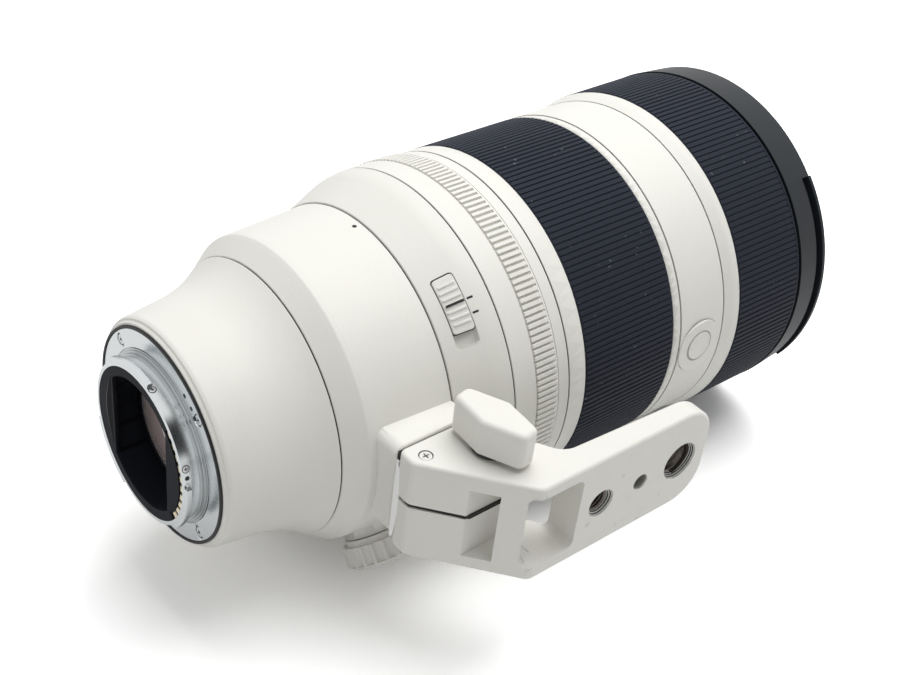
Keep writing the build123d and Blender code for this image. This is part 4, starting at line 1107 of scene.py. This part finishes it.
@dataclass(frozen=True)
class SlideSwitch:
    """One sliding switch: its node, its body and the angles of its slot and slider."""

    node: str
    body: str
    slot_start: float
    slot_sweep: float
    slider_sweep: float

    @property
    def slot_middle(self) -> float:
        """Angle of the slot's middle."""
        return self.slot_start + self.slot_sweep / 2

    @property
    def slider_middle(self) -> float:
        """Angle of the slider's middle."""
        return self.slot_start + 0.18 + self.slider_sweep / 2


@dataclass
class Switches:
    """The conical switch barrel, its sliding switches and their marks."""

    shop: Workshop
    at: Stations
    cone: Surface = Surface(59.6, 44.3, 71.4, 49.0)
    middle: float = 66.2
    slot_length: float = 5.9
    slot_depth: float = 1.9
    slider_length: float = 5.35
    rib_pitch: float = 2.08
    rib_sweep: float = 1.0
    tick_at: float = 70.3
    rows: tuple[SlideSwitch, ...] = (
        SlideSwitch("click_slider", "click_switch", -58.3, 23.1, 18.7),
        SlideSwitch("focus_mode_slider", "focus_mode_switch", 60.7, 14.6, 10.2),
        SlideSwitch("full_time_slider", "full_time_switch", 82.7, 14.6, 10.2),
        SlideSwitch("range_slider", "range_switch", 104.7, 14.6, 10.2),
        SlideSwitch("iris_lock_slider", "iris_lock_switch", 194.7, 14.6, 10.2))

    def build(self) -> None:
        """The barrel and every switch."""
        self.barrel()
        for row in self.rows:
            self.slider(row)
        self.marks()

    def barrel(self) -> None:
        """Shell with a round-cornered slot for each switch."""
        rear, front = self.at.collar_seam + self.at.half_seam, self.at.aperture_rear - self.at.half_seam
        outline = [(40.03, rear), (self.cone.radius(rear), rear, 0.3), (49.0, 71.4, 2.4),
                   (49.7, front, 0.3), (40.03, front), (40.03, front - 3.2), (46.5, front - 3.2),
                   (44.9, 68.2), (42.7, rear + 3.2), (40.03, rear + 3.2)]
        shell = lathe("switch_housing", outline)
        tool = bmesh.new()
        for row in self.rows:
            self.cone.plate(tool, self.middle, row.slot_middle, self.slot_length, row.slot_sweep,
                            -self.slot_depth, 3.0, 0.95)
        cut(shell, from_bmesh("slot_cutter", tool))
        bevelled(shell, 0.14)
        self.shop.settle(shell, "barrel", "white_paint", ("switch_barrel",))

    def slider(self, row: SlideSwitch) -> None:
        """Ribbed slider on a black base, which shows as painted shade in the gap round it, with a black line
        on its middle rib.

        Args:
            row: The switch.
        """
        name = row.node
        # The black base shows in the gap round the slider as painted shade.
        base = bmesh.new()
        self.cone.plate(base, self.middle, row.slider_middle, self.slot_length - 0.08, row.slider_sweep + 0.1,
                        -1.6, -0.22, 0.9)
        self.shop.settle(from_bmesh(name + "_base", base), row.body, "black_plastic")
        shape = bmesh.new()
        self.cone.plate(shape, self.middle, row.slider_middle, self.slider_length, row.slider_sweep - 0.6,
                        -0.9, 0.22, 0.8, 0.12)
        reach = int((row.slider_sweep / 2 - 1.2) / self.rib_pitch)
        for step in range(-reach, reach + 1):
            length = self.slider_length - (0.9 if abs(step) == reach else 0.35)
            self.cone.plate(shape, self.middle, row.slider_middle + self.rib_pitch * step, length,
                            self.rib_sweep, 0.1, 0.62, 0.0, 0.22)
        piece = from_bmesh(name + "_cap", shape)
        self.shop.settle(piece, row.body, "switch_white", (name,))
        line = bmesh.new()
        self.cone.plate(line, self.middle, row.slider_middle, self.slider_length - 0.7, 0.82, 0.4, 0.66)
        self.shop.settle(from_bmesh(name + "_line", line), row.body, "switch_white", (), INK_AND_SHADE)

    def marks(self) -> None:
        """Two ticks beside each slot, for the slider's two ends."""
        shape = bmesh.new()
        for row in self.rows:
            for angle in (row.slider_middle, row.slider_middle + 4.6):
                self.cone.plate(shape, self.tick_at, angle, 1.5, 0.62, -0.05, 0.035)
        self.shop.settle(from_bmesh("switch_ticks", shape), "barrel", "white_paint", (), INK_AND_SHADE)


@dataclass
class Dial:
    """Plain aperture numbers and their index line, on the side that faces up in use."""

    shop: Workshop
    at: Stations
    ring: Surface = Surface(75.6, 49.7, 83.0, 49.7)
    housing: Surface = Surface(71.4, 49.0, 75.4, 49.7)
    numbers: tuple[str, ...] = ("2", "2.8", "4", "5.6", "8", "11", "16", "22")
    index_angle: float = 180.0
    step_angle: float = 10.0
    height: float = 2.6
    station: float = 78.9

    def build(self) -> None:
        """The numbers, a tick over each, and the index line."""
        shape = bmesh.new()
        ticks = bmesh.new()
        for step, number in enumerate(self.numbers):
            angle = self.index_angle - self.step_angle * step
            self.write(shape, number, angle)
            self.ring.plate(ticks, 76.9, angle, 1.0, 0.35, -0.05, 0.03)
        self.shop.settle(from_bmesh("aperture_numbers", shape), "aperture", "white_paint", (), INK_AND_SHADE)
        self.shop.settle(from_bmesh("aperture_ticks", ticks), "aperture", "white_paint", (), INK_AND_SHADE)
        line = bmesh.new()
        self.housing.plate(line, 73.6, self.index_angle, 2.4, 0.5, -0.05, 0.03)
        self.shop.settle(from_bmesh("aperture_index", line), "barrel", "white_paint", (), INK_AND_SHADE)

    def write(self, shape: bmesh.types.BMesh, words: str, angle: float) -> None:
        """Adds a number that lies on the ring, its top towards the rear.

        Args:
            shape: The bmesh, in millimetres.
            words: The number.
            angle: Angle of its middle, in degrees.
        """
        curve = bpy.data.curves.new(words, "FONT")
        curve.body = words
        curve.size = self.height * 1.35
        curve.align_x = "CENTER"
        curve.align_y = "CENTER"
        curve.extrude = 0.03
        holder = new_object("number", curve)
        bpy.context.view_layer.update()
        flat = bpy.data.meshes.new_from_object(holder.evaluated_get(bpy.context.evaluated_depsgraph_get()))
        bpy.data.objects.remove(holder)
        bpy.data.curves.remove(curve)
        before = len(shape.verts)
        shape.from_mesh(flat)
        bpy.data.meshes.remove(flat)
        shape.verts.ensure_lookup_table()
        for vertex in shape.verts[before:]:
            across, up, out = vertex.co
            turn = angle + math.degrees(across / self.ring.rear_radius)
            vertex.co = self.ring.point(self.station - up + 0.6, turn, out)


@dataclass
class Mount:
    """The bayonet mount, its seal, screws, contacts and light baffle."""

    shop: Workshop
    screw_circle: float = 26.2
    throat_radius: float = 20.7
    lug_height: float = 1.2
    barrel_radius: float = 21.8
    rear_face: float = -5.7
    side_station: float = -4.62
    lug_middles: tuple[float, ...] = (-101.0, 19.0, 139.0)
    lug_sweep: float = 48.0
    contact_start: float = -47.0
    contact_sweep: float = 86.0
    contact_count: int = 10
    contact_circle: float = 19.83
    side_screw_angles: tuple[float, ...] = (-75.0, -18.5)
    side_hole_angle: float = -11.8
    pin_angle: float = -6.6
    flange_holes: tuple[tuple[float, float], ...] = ((-60.0, 25.4), (-46.5, 24.7), (-52.0, 25.6))
    baffle_cut: float = 14.0
    bow_half: float = 11.0
    bow_steps: int = 16

    def build(self) -> None:
        """Every piece of the mount."""
        for node in ("mount_gasket", "contact_block", "rear_element"):
            self.shop.skin(node)
        for node in ("rear_baffle", "rear_cell"):
            self.shop.skin(node, 0.0, BAFFLE_BLACK)
        self.bayonet()
        self.contacts()
        self.root_steps()
        self.flange_screws()
        self.side_screws()
        self.baffle_steps()

    def bayonet(self) -> None:
        """Flange with its screw seats, and the bayonet barrel with its three lugs."""
        outline = [(self.throat_radius, self.rear_face), (self.barrel_radius, self.rear_face, 0.15),
                   (self.barrel_radius, 0.4), (23.6, 0.4), (23.6, 0, 0.1), (28.6, 0, 0.25), (28.6, 2.6),
                   (self.throat_radius, 2.6)]
        ring = lathe("bayonet_ring", outline)
        seats = [axis_turn(45 + 90 * step) @ Matrix.Translation((self.screw_circle, 0, 0)) @ REARWARD
                 for step in range(4)]
        cut(ring, disc("seat_cutter", [(0, -0.8), (1.72, -0.8), (1.72, 0.5), (0, 0.5)], seats))
        self.shop.settle(ring, "barrel", "mount_steel", ("bayonet_mount",))
        shape = bmesh.new()
        surface = Surface(-6.0, self.barrel_radius, 0.0, self.barrel_radius)
        for middle in self.lug_middles:
            surface.plate(shape, self.rear_face + 0.77, middle, 1.5, self.lug_sweep, -0.4, self.lug_height,
                          0.0, 0.12)
        self.shop.settle(from_bmesh("bayonet_lugs", shape), "barrel", "mount_steel")

    def contacts(self) -> None:
        """Row of gold contact pads on the block's rear face."""
        shape = bmesh.new()
        for step in range(self.contact_count):
            angle = self.contact_start + self.contact_sweep * (step + 0.5) / self.contact_count
            place = axis_turn(angle) @ Matrix.Translation((self.contact_circle, -5.2, 0)) @ REARWARD
            prism(shape, [(-0.68, -0.85), (0.68, -0.85), (0.68, 0.85), (-0.68, 0.85)], -0.15, 0.15, place)
        pads = bevelled(from_bmesh("contact_pads_row", shape), 0.07)
        self.shop.settle(pads, "barrel", "contact_gold", ("contact_pads",), PALE_GOLD)

    def flange_screws(self) -> None:
        """Four cross-head screws, each in a recess, with dark rings and crosses as painted shade of the
        recesses.
        """
        place = axis_turn(45) @ Matrix.Translation((self.screw_circle, 0.12, 0)) @ REARWARD
        heads = disc("flange_screw_heads", [(0, -4.2), (0.8, -4.2), (0.8, -0.7), (1.36, -0.7),
                                            (1.36, -0.06, 0.15), (1.2, 0, 0.1), (0, 0)], (place,))
        cut(heads, prisms("cross_cutter", cross_outline(0.72, 0.17), -0.4, 0.3, (place,)))
        self.shop.ring_array.apply(heads, 4, MOUNT_STEEL)
        self.shop.settle(heads, "barrel", "mount_steel", ("mount_screws",))
        shades = disc("flange_screw_recess_shades", [(0.85, -0.65), (1.68, -0.65), (1.68, -0.12),
                                                (0.85, -0.3)], (place,))
        self.shop.ring_array.apply(shades, 4, SEAM_SHADE_BLACK)
        self.shop.settle(shades, "barrel", "seal_rubber", (), SEAM_SHADE_BLACK)
        floors = prisms("flange_screw_cross_shades", cross_outline(0.68, 0.14), -0.38, -0.2, (place,))
        self.shop.ring_array.apply(floors, 4, INK_AND_SHADE)
        self.shop.settle(floors, "barrel", "mount_steel", (), INK_AND_SHADE)

    def side_screws(self) -> None:
        """Screws, a hole and a pin on the bayonet barrel, and small holes in the flange; the dark rings,
        crosses and hole discs are painted shade.
        """
        screws = [outward(angle, self.barrel_radius, self.side_station) for angle in self.side_screw_angles]
        rings = disc("bayonet_screw_ring_shades", [(0.5, -0.4), (1.04, -0.4), (1.04, 0.03), (0.5, 0.03)],
                     screws, 32)
        self.shop.settle(rings, "barrel", "mount_steel", (), SEAM_SHADE_BLACK)
        heads = disc("bayonet_screws", [(0, -0.4), (0.86, -0.4), (0.86, 0.04, 0.06), (0, 0.06)], screws, 32)
        self.shop.settle(heads, "barrel", "mount_steel", (), BARE_STEEL)
        crosses = prisms("bayonet_screw_cross_shades", cross_outline(0.45, 0.12), -0.2, 0.075, screws)
        self.shop.settle(crosses, "barrel", "mount_steel", (), INK_AND_SHADE)
        spots = [outward(self.side_hole_angle, self.barrel_radius, self.side_station),
                 *(axis_turn(angle) @ Matrix.Translation((radius, 0, 0)) @ REARWARD
                   for angle, radius in self.flange_holes)]
        holes = disc("mount_hole_shades", [(0, -0.5), (0.62, -0.5), (0.62, 0.025), (0, 0.025)], spots, 32)
        self.shop.settle(holes, "barrel", "mount_steel", (), INK_AND_SHADE)
        pin = disc("mount_pin", [(0, -0.5), (0.5, -0.5), (0.5, 0.35, 0.15), (0, 0.45)],
                   (outward(self.pin_angle, self.barrel_radius, -4.7),), 24)
        self.shop.settle(pin, "barrel", "mount_steel", (), BARE_STEEL)

    def root_steps(self) -> None:
        """Turned steps round the root of the bayonet barrel, in a darker steel as painted shade between the
        steps.
        """
        shape = bmesh.new()
        for inner, outer, rear in ((21.7, 22.35, -1.35), (22.2, 22.95, -0.75), (22.8, 23.45, -0.2)):
            step = [(inner, 0.38), (inner, rear), (outer, rear, 0.12), (outer, 0.38)]
            spun(shape, softened(step), OPTICAL, 192)
        self.shop.settle(from_bmesh("bayonet_root_steps", shape), "barrel", "mount_steel", (), STEP_STEEL_SHADED)

    def baffle_steps(self) -> None:
        """Dark crescent beside the flat side of the baffle's opening, painted shade, with its raised edge in
        lighter grey, a painted highlight.
        """
        place = Matrix.Translation((0, -5.6, 1.0)) @ REARWARD
        bow = [(math.cos(math.pi * (step / self.bow_steps - 1 / 2)),
                self.bow_half * (1 - 2 * step / self.bow_steps)) for step in range(self.bow_steps + 1)]
        edge = [(-self.baffle_cut - 2.9 * reach, height) for reach, height in bow]
        inner = [(-self.baffle_cut - 2.6 * reach, height) for reach, height in reversed(bow)]
        ridge = prisms("baffle_ridge_highlight", edge + inner[1:-1], -0.1, 0.08, (place,))
        self.shop.settle(ridge, "barrel", "black_plastic", (), RIDGE_HIGHLIGHT_GREY)
        pool = prisms("baffle_crescent_shade", inner, -0.1, 0.03, (place,))
        self.shop.settle(pool, "barrel", "black_plastic", (), DEEP_SHADE_BLACK)


@dataclass
class Holds:
    """The three focus hold buttons, with a grey ring round each as painted shade of its groove."""

    shop: Workshop
    at: Stations
    names: tuple[tuple[str, str], ...] = (
        ("hold_button_lower", "lower_button"), ("hold_button_side", "side_button"),
        ("hold_button_upper", "upper_button"))

    def build(self) -> None:
        """Every button."""
        places = [outward(angle, self.at.pad_face, self.at.button_at) for angle in self.at.button_angles]
        for place, (node, body) in zip(places, self.names):
            cap = disc(node + "_cap", [(0, -2.45), (5.5, -2.45), (5.5, -1.65), (4.42, -1.65),
                                       (4.42, 0.24, 0.2), (3.9, 0.24, 0.1), (3.75, 0.16, 0.1), (0, 0.16)],
                       (place,), 64)
            self.shop.settle(cap, body, "switch_white", (node,))
        # Grey ring round each cap: painted shade of the groove.
        shade_rings = disc("button_groove_shades", [(4.47, -1.2), (4.98, -1.2), (4.98, 0.015), (4.47, -0.02)], places, 64)
        self.shop.settle(shade_rings, "barrel", "seal_rubber", (), GROOVE_SHADE_GREY)
        shades = disc("pad_shades", [(8.1, -1.4), (8.36, -1.4), (8.36, -0.56), (8.1, -0.56)], places, 96)
        self.shop.settle(shades, "barrel", "white_paint", (), HOLE_SHADE_GREY)


@dataclass
class Collar:
    """The tripod collar with its dot, and the lock knob."""

    shop: Workshop
    at: Stations
    ring: Surface = Surface(34.6, 42.7, 59.4, 44.0)
    profile: tuple[float, float, float] = (38.6, 42.7, 44.0)
    edge_from_seam: float = 5.8
    rounding: float = 1.4
    coat: float = 0.03
    dot_at: float = 57.4

    def build(self) -> None:
        """The collar's pieces."""
        self.shop.skin("collar_ring")
        self.shell()
        self.shop.skin("lock_knob", 0.18)
        dot = disc("collar_dot", [(0, -0.3), (0.62, -0.3), (0.62, 0.07), (0, 0.07)],
                   (outward(-90.0, self.ring.radius(self.dot_at), self.dot_at),), 32)
        self.shop.settle(dot, "collar", "white_paint", (), INK_AND_SHADE)

    def shell(self) -> None:
        """Smooth coat of paint over the turned part of the collar."""
        rear = self.at.rear_seam + self.at.half_seam + self.coat
        front = self.at.collar_seam - self.at.half_seam - self.coat
        edge = self.at.rear_seam + self.edge_from_seam
        low, middle, high = (radius + self.coat for radius in self.profile)
        outline = [(low - 0.4, rear), (low, rear, 0.1), (middle, edge, self.rounding), (high, front, 0.2),
                   (high - 0.4, front), (middle - 0.6, edge)]
        self.shop.settle(lathe("collar_coat", outline, 8), "collar", "white_paint")


@dataclass(frozen=True)
class Bush:
    """One stepped bush in the foot's plate. Its steps are (radius, height) from the outside in."""

    thread: str
    radius: float
    depth: float
    pitch: float
    station: float
    steps: tuple[tuple[float, float], ...]


@dataclass
class Foot:
    """The tripod foot with its screw, lever, slit and threaded bushes."""

    shop: Workshop
    plate_face: float = 80.0
    side_face: float = 15.4
    jaw_rear: float = 36.0
    screw_place: tuple[float, float] = (55.0, 40.6)
    lever_place: tuple[float, float] = (61.4, 55.6)
    pin_at: float = 92.3
    bush_sunk: float = 0.35
    step_drop: float = 0.45
    rows: tuple[Bush, ...] = (
        Bush("small_thread", 3.175, 6.0, 1.27, 78.3, ((4.1, 0.0), (3.75, -0.45))),
        Bush("large_thread", 4.763, 5.2, 1.588, 106.9, ((5.69, 0.0), (5.35, -0.45), (5.05, -0.9))))

    def build(self) -> None:
        """The foot's pieces."""
        self.shop.skin("tripod_foot", 0.0, FOOT_PAINT, 0.1)
        self.shop.skin("clamp_lever", 0.0, PAINT, 0.1)
        self.side_screw()
        self.slit()
        self.rail()
        self.hub()
        self.bushes()

    def side_screw(self) -> None:
        """Painted cross-head screw in a narrow dark ring, with a dark cross; ring and cross are painted
        shade.
        """
        place = Matrix.Translation((*self.screw_place, self.side_face - 0.12))
        head = disc("side_screw_head", [(0, -5.6), (1.05, -5.6), (1.05, -0.7), (1.62, -0.7), (1.62, 0, 0.25),
                                        (0, 0)], (place,), 64)
        cut(head, prisms("cross_cutter", cross_outline(0.95, 0.2), -0.55, 0.4, (place,)))
        self.shop.settle(head, "foot", "white_paint", ("foot_side_screw",))
        ring = disc("side_screw_recess_shade", [(1.2, -0.75), (1.87, -0.75), (1.87, -0.25), (1.2, -0.25)],
                    (place,), 64)
        self.shop.settle(ring, "foot", "white_paint", (), SEAM_SHADE_BLACK)
        floor = prisms("side_screw_cross_shade", cross_outline(0.92, 0.17), -0.52, -0.2, (place,))
        self.shop.settle(floor, "foot", "white_paint", (), SEAM_SHADE_BLACK)

    def slit(self) -> None:
        """Dark filler deep in the clamp slit: painted shade of the slit."""
        outline = [(53.8, 36.5), (55.35, 36.5), (65.35, 44.65), (66.1, 45.1), (67.0, 46.3), (67.0, 57.0),
                   (60.0, 60.0), (53.8, 60.0)]
        self.shop.settle(prisms("slit_shade", outline, 1.02, 2.18), "foot", "black_metal", (), SEAM_SHADE_BLACK)

    def rail(self) -> None:
        """Dovetail rail in near-white as a painted reflection of its steel, with the shade of the seam over
        its top end, and a near-white strip on the jaw's end, also painted reflection.
        """
        plate = cad_copy("dovetail_plate")
        tool = bmesh.new()
        prism(tool, [(45.0, 30.0), (49.84, 30.0), (49.84, 65.0), (45.0, 65.0)], 11.4, 16.0)
        cut(plate, from_bmesh("rail_cutter", tool))
        self.shop.settle(plate, "collar", "bare_steel", ("dovetail_plate",), RAIL_REFLECTION_WHITE)
        shade = prisms("rail_seam", [(48.85, 37.1), (49.65, 37.1), (49.65, 59.2), (48.85, 59.2)], 11.4, 13.7)
        self.shop.settle(shade, "collar", "bare_steel", (), SEAM_SHADE_BLACK)
        end = [(50.0, -13.3), (51.0, -11.6), (51.9, -3.0), (51.9, 3.0), (51.3, 10.2), (50.0, 11.4)]
        place = Matrix.Translation((0, self.jaw_rear, 0)) @ REARWARD
        strip = prisms("jaw_end_reflection", end, -0.1, 0.08, (place,))
        self.shop.settle(strip, "foot", "white_paint", (), RAIL_REFLECTION_WHITE)

    def hub(self) -> None:
        """Black disc between the lever and the foot: painted shade of the gap under the lever."""
        place = Matrix.Translation((*self.lever_place, self.side_face))
        washer = disc("lever_hub_shade", [(2.5, 0.4), (5.15, 0.4, 0.1), (5.15, 1.65), (2.5, 1.65)], (place,), 64)
        self.shop.settle(washer, "lever", "black_plastic")

    def bushes(self) -> None:
        """Stepped bushes, with their threads, and dark floors and dark lines between the steps as painted
        shade.
        """
        shape, floors, lines = bmesh.new(), bmesh.new(), bmesh.new()
        for row in self.rows:
            place = outward(0.0, self.plate_face - self.bush_sunk, row.station)
            outline: list[tuple[float, ...]] = [(row.steps[0][0], -row.depth)]
            for (outer, high), (inner, _) in zip(row.steps, (*row.steps[1:], (row.radius, 0))):
                wall = (outer + inner) / 2 - 0.03
                floor = high - self.step_drop
                outline += [(outer, high, 0.08), (wall, high, 0.05), (wall, floor), (inner, floor)]
                spun(lines, [(wall - 0.13, high - 0.5), (wall + 0.05, high - 0.5), (wall + 0.05, high - 0.2),
                             (wall - 0.03, high - 0.2), (wall - 0.13, high - 0.4)], place, 96)
            outline += [(row.radius, row.steps[-1][1] - 0.5), (row.radius, -row.depth)]
            spun(shape, softened(outline), place, 96)
            spun(floors, [(0, -row.depth), (row.radius, -row.depth), (row.radius, 0.4 - row.depth),
                          (0, 0.4 - row.depth)], place, 48)
            ridge = self.shop.thread.build(row.thread, row.radius, row.pitch, row.depth - 1.6, THREAD_STEEL_AND_SHADE,
                                           place @ Matrix.Translation((0, 0, 0.3 - row.depth)))
            self.shop.settle(ridge, "foot", "bare_steel", (), THREAD_STEEL_AND_SHADE)
        self.shop.settle(from_bmesh("foot_bushes", shape), "foot", "bare_steel", ("thread_bushes",), NICKEL)
        self.shop.settle(from_bmesh("bush_floor_shades", floors), "foot", "bare_steel", (), THREAD_STEEL_AND_SHADE)
        self.shop.settle(from_bmesh("bush_step_shades", lines), "foot", "bare_steel", (), SEAM_SHADE_BLACK)
        # Dark grey lining of the pin hole: painted shade.
        sleeve = disc("pin_hole_shade", [(0, -4.15), (2.37, -4.15), (2.37, -0.35), (2.25, -0.45), (2.25, -3.95),
                                   (0, -3.95)], (outward(0.0, self.plate_face, self.pin_at),), 64)
        self.shop.settle(sleeve, "foot", "white_paint", (), HOLE_SHADE_GREY)


@dataclass
class Rest:
    """CAD nodes that a smoothed copy stands for."""

    shop: Workshop

    def build(self) -> None:
        """A copy of every node that no other class has dressed."""
        for node in frame["nodes"]:
            if node not in self.shop.dressed:
                self.shop.skin(node)


@dataclass
class Studio:
    """Floor, world, lamp and the camera at the photograph's angle."""

    floor_height: float = CAD_BOX[0][2]
    floor_size: float = 6.0
    camera_place: tuple[float, float, float] = (0.24173, -0.13182, 0.24145)
    camera_right: tuple[float, float, float] = (0.62639, 0.77335, 0.09779)
    camera_up: tuple[float, float, float] = (-0.51724, 0.31851, 0.79436)
    focal_length: float = 56.90
    sensor_width: float = 36.0
    ambient: float = 0.43
    dark_share: float = 0.97
    dark_side: tuple[float, float, float] = (0.78, 0.32, 0.54)
    floor_white: float = 1.45
    floor_bounce: float = 0.82
    floor_reach: float = 0.35
    floor_rise: float = 3.0
    dark_from: float = 0.87
    dark_rise: float = 14.0
    lamp_place: tuple[float, float, float] = (-0.05, 0.35, 0.93)
    lamp_aim: tuple[float, float, float] = (0.0, 0.09, 0.0)
    lamp_size: float = 0.9
    lamp_power: float = 10.2

    def build(self) -> None:
        """The whole studio."""
        self.floor()
        self.world()
        self.lamp()
        self.camera()

    def floor(self) -> None:
        """Plain pale floor under the lens, that turns white further out."""
        half = self.floor_size / 2
        mesh = bpy.data.meshes.new("floor")
        mesh.from_pydata([(-half, -half, 0), (half, -half, 0), (half, half, 0), (-half, half, 0)], [],
                         [(0, 1, 2, 3)])
        made = new_object("floor", mesh)
        made.location.z = self.floor_height
        material = bpy.data.materials.new("pale_floor")
        material.use_nodes = True
        material.node_tree.nodes.clear()
        maker = TreeMaker(material.node_tree)
        camera_ray = maker.add("ShaderNodeLightPath", output="Is Camera Ray")
        seen = camera_ray * (self.floor_white - self.floor_bounce)
        pale = maker.add("ShaderNodeCombineXYZ", {}, {axis: seen + self.floor_bounce for axis in "XYZ"})
        shader = maker.node("ShaderNodeBsdfPrincipled", {}, {
            "Base Color": pale, "Roughness": 0.55, "Specular IOR Level": 0.2})
        place = maker.add("ShaderNodeTexCoord", output="Object")
        away = maker.add("ShaderNodeVectorMath", {"operation": "LENGTH"}, {0: place}, "Value")
        far = ((away - self.floor_reach) * self.floor_rise).clamped() * camera_ray
        glow = maker.node("ShaderNodeEmission", {}, {"Color": (1, 1, 1, 1), "Strength": 1.0})
        mixed = maker.node("ShaderNodeMixShader", {}, {0: far, 1: shader.outputs[0], 2: glow.outputs[0]})
        maker.node("ShaderNodeOutputMaterial", {}, {"Surface": mixed.outputs[0]})
        mesh.materials.append(material)

    def world(self) -> None:
        """White where the camera, metal or glass looks at it, with one dark side for metal."""
        world = bpy.data.worlds.new("studio")
        bpy.context.scene.world = world
        world.use_nodes = True
        world.node_tree.nodes.clear()
        maker = TreeMaker(world.node_tree)
        camera_ray, through, glossy = (maker.add("ShaderNodeLightPath", output=f"Is {kind} Ray")
                                       for kind in ("Camera", "Transmission", "Glossy"))
        shown = camera_ray + through
        aim = maker.add("ShaderNodeTexCoord", output="Generated")
        towards = Vector(self.dark_side).normalized()
        facing = maker.add("ShaderNodeVectorMath", {"operation": "DOT_PRODUCT"}, {0: aim, 1: towards},
                           "Value")
        dark = ((facing - self.dark_from) * self.dark_rise).clamped() * self.dark_share
        seen = (shown + glossy * (1 - dark)).clamped()
        strength = seen + (1 - (shown + glossy).clamped()) * self.ambient
        shader = maker.node("ShaderNodeBackground", {}, {"Color": (1, 1, 1, 1), "Strength": strength})
        maker.node("ShaderNodeOutputWorld", {}, {"Surface": shader.outputs[0]})

    def lamp(self) -> None:
        """Soft square lamp that faces the lens."""
        data = bpy.data.lights.new("key", "AREA")
        data.shape = "SQUARE"
        data.size = self.lamp_size
        data.energy = self.lamp_power
        made = bpy.data.objects.new("key", data)
        made.visible_glossy = False
        made.location = self.lamp_place
        aim = Vector(self.lamp_aim) - Vector(self.lamp_place)
        made.rotation_euler = aim.to_track_quat("-Z", "Y").to_euler()
        bpy.context.scene.collection.objects.link(made)

    def camera(self) -> None:
        """Camera at the photograph's viewing angle."""
        data = bpy.data.cameras.new("camera")
        data.lens = self.focal_length
        data.sensor_width = self.sensor_width
        data.clip_start = 0.01
        made = bpy.data.objects.new("camera", data)
        right, up = Vector(self.camera_right), Vector(self.camera_up)
        back = right.cross(up)
        turn = Matrix((right, up, back)).transposed().to_4x4()
        made.matrix_world = Matrix.Translation(self.camera_place) @ turn
        bpy.context.scene.collection.objects.link(made)
        bpy.context.scene.camera = made


def main() -> None:
    """Builds the lens's classes in order, then the studio."""
    logging.basicConfig(level=logging.INFO, format="%(message)s")
    bpy.context.scene.view_settings.view_transform = "Standard"
    shop = Workshop()
    at = Stations()
    for part in (Shells(shop, at), Grips(shop, at), Switches(shop, at), Dial(shop, at), Mount(shop),
                 Holds(shop, at), Collar(shop, at), Foot(shop), Rest(shop)):
        part.build()
        log.info("%s built", type(part).__name__)
    Studio().build()


if __name__ == "__main__":
    main()
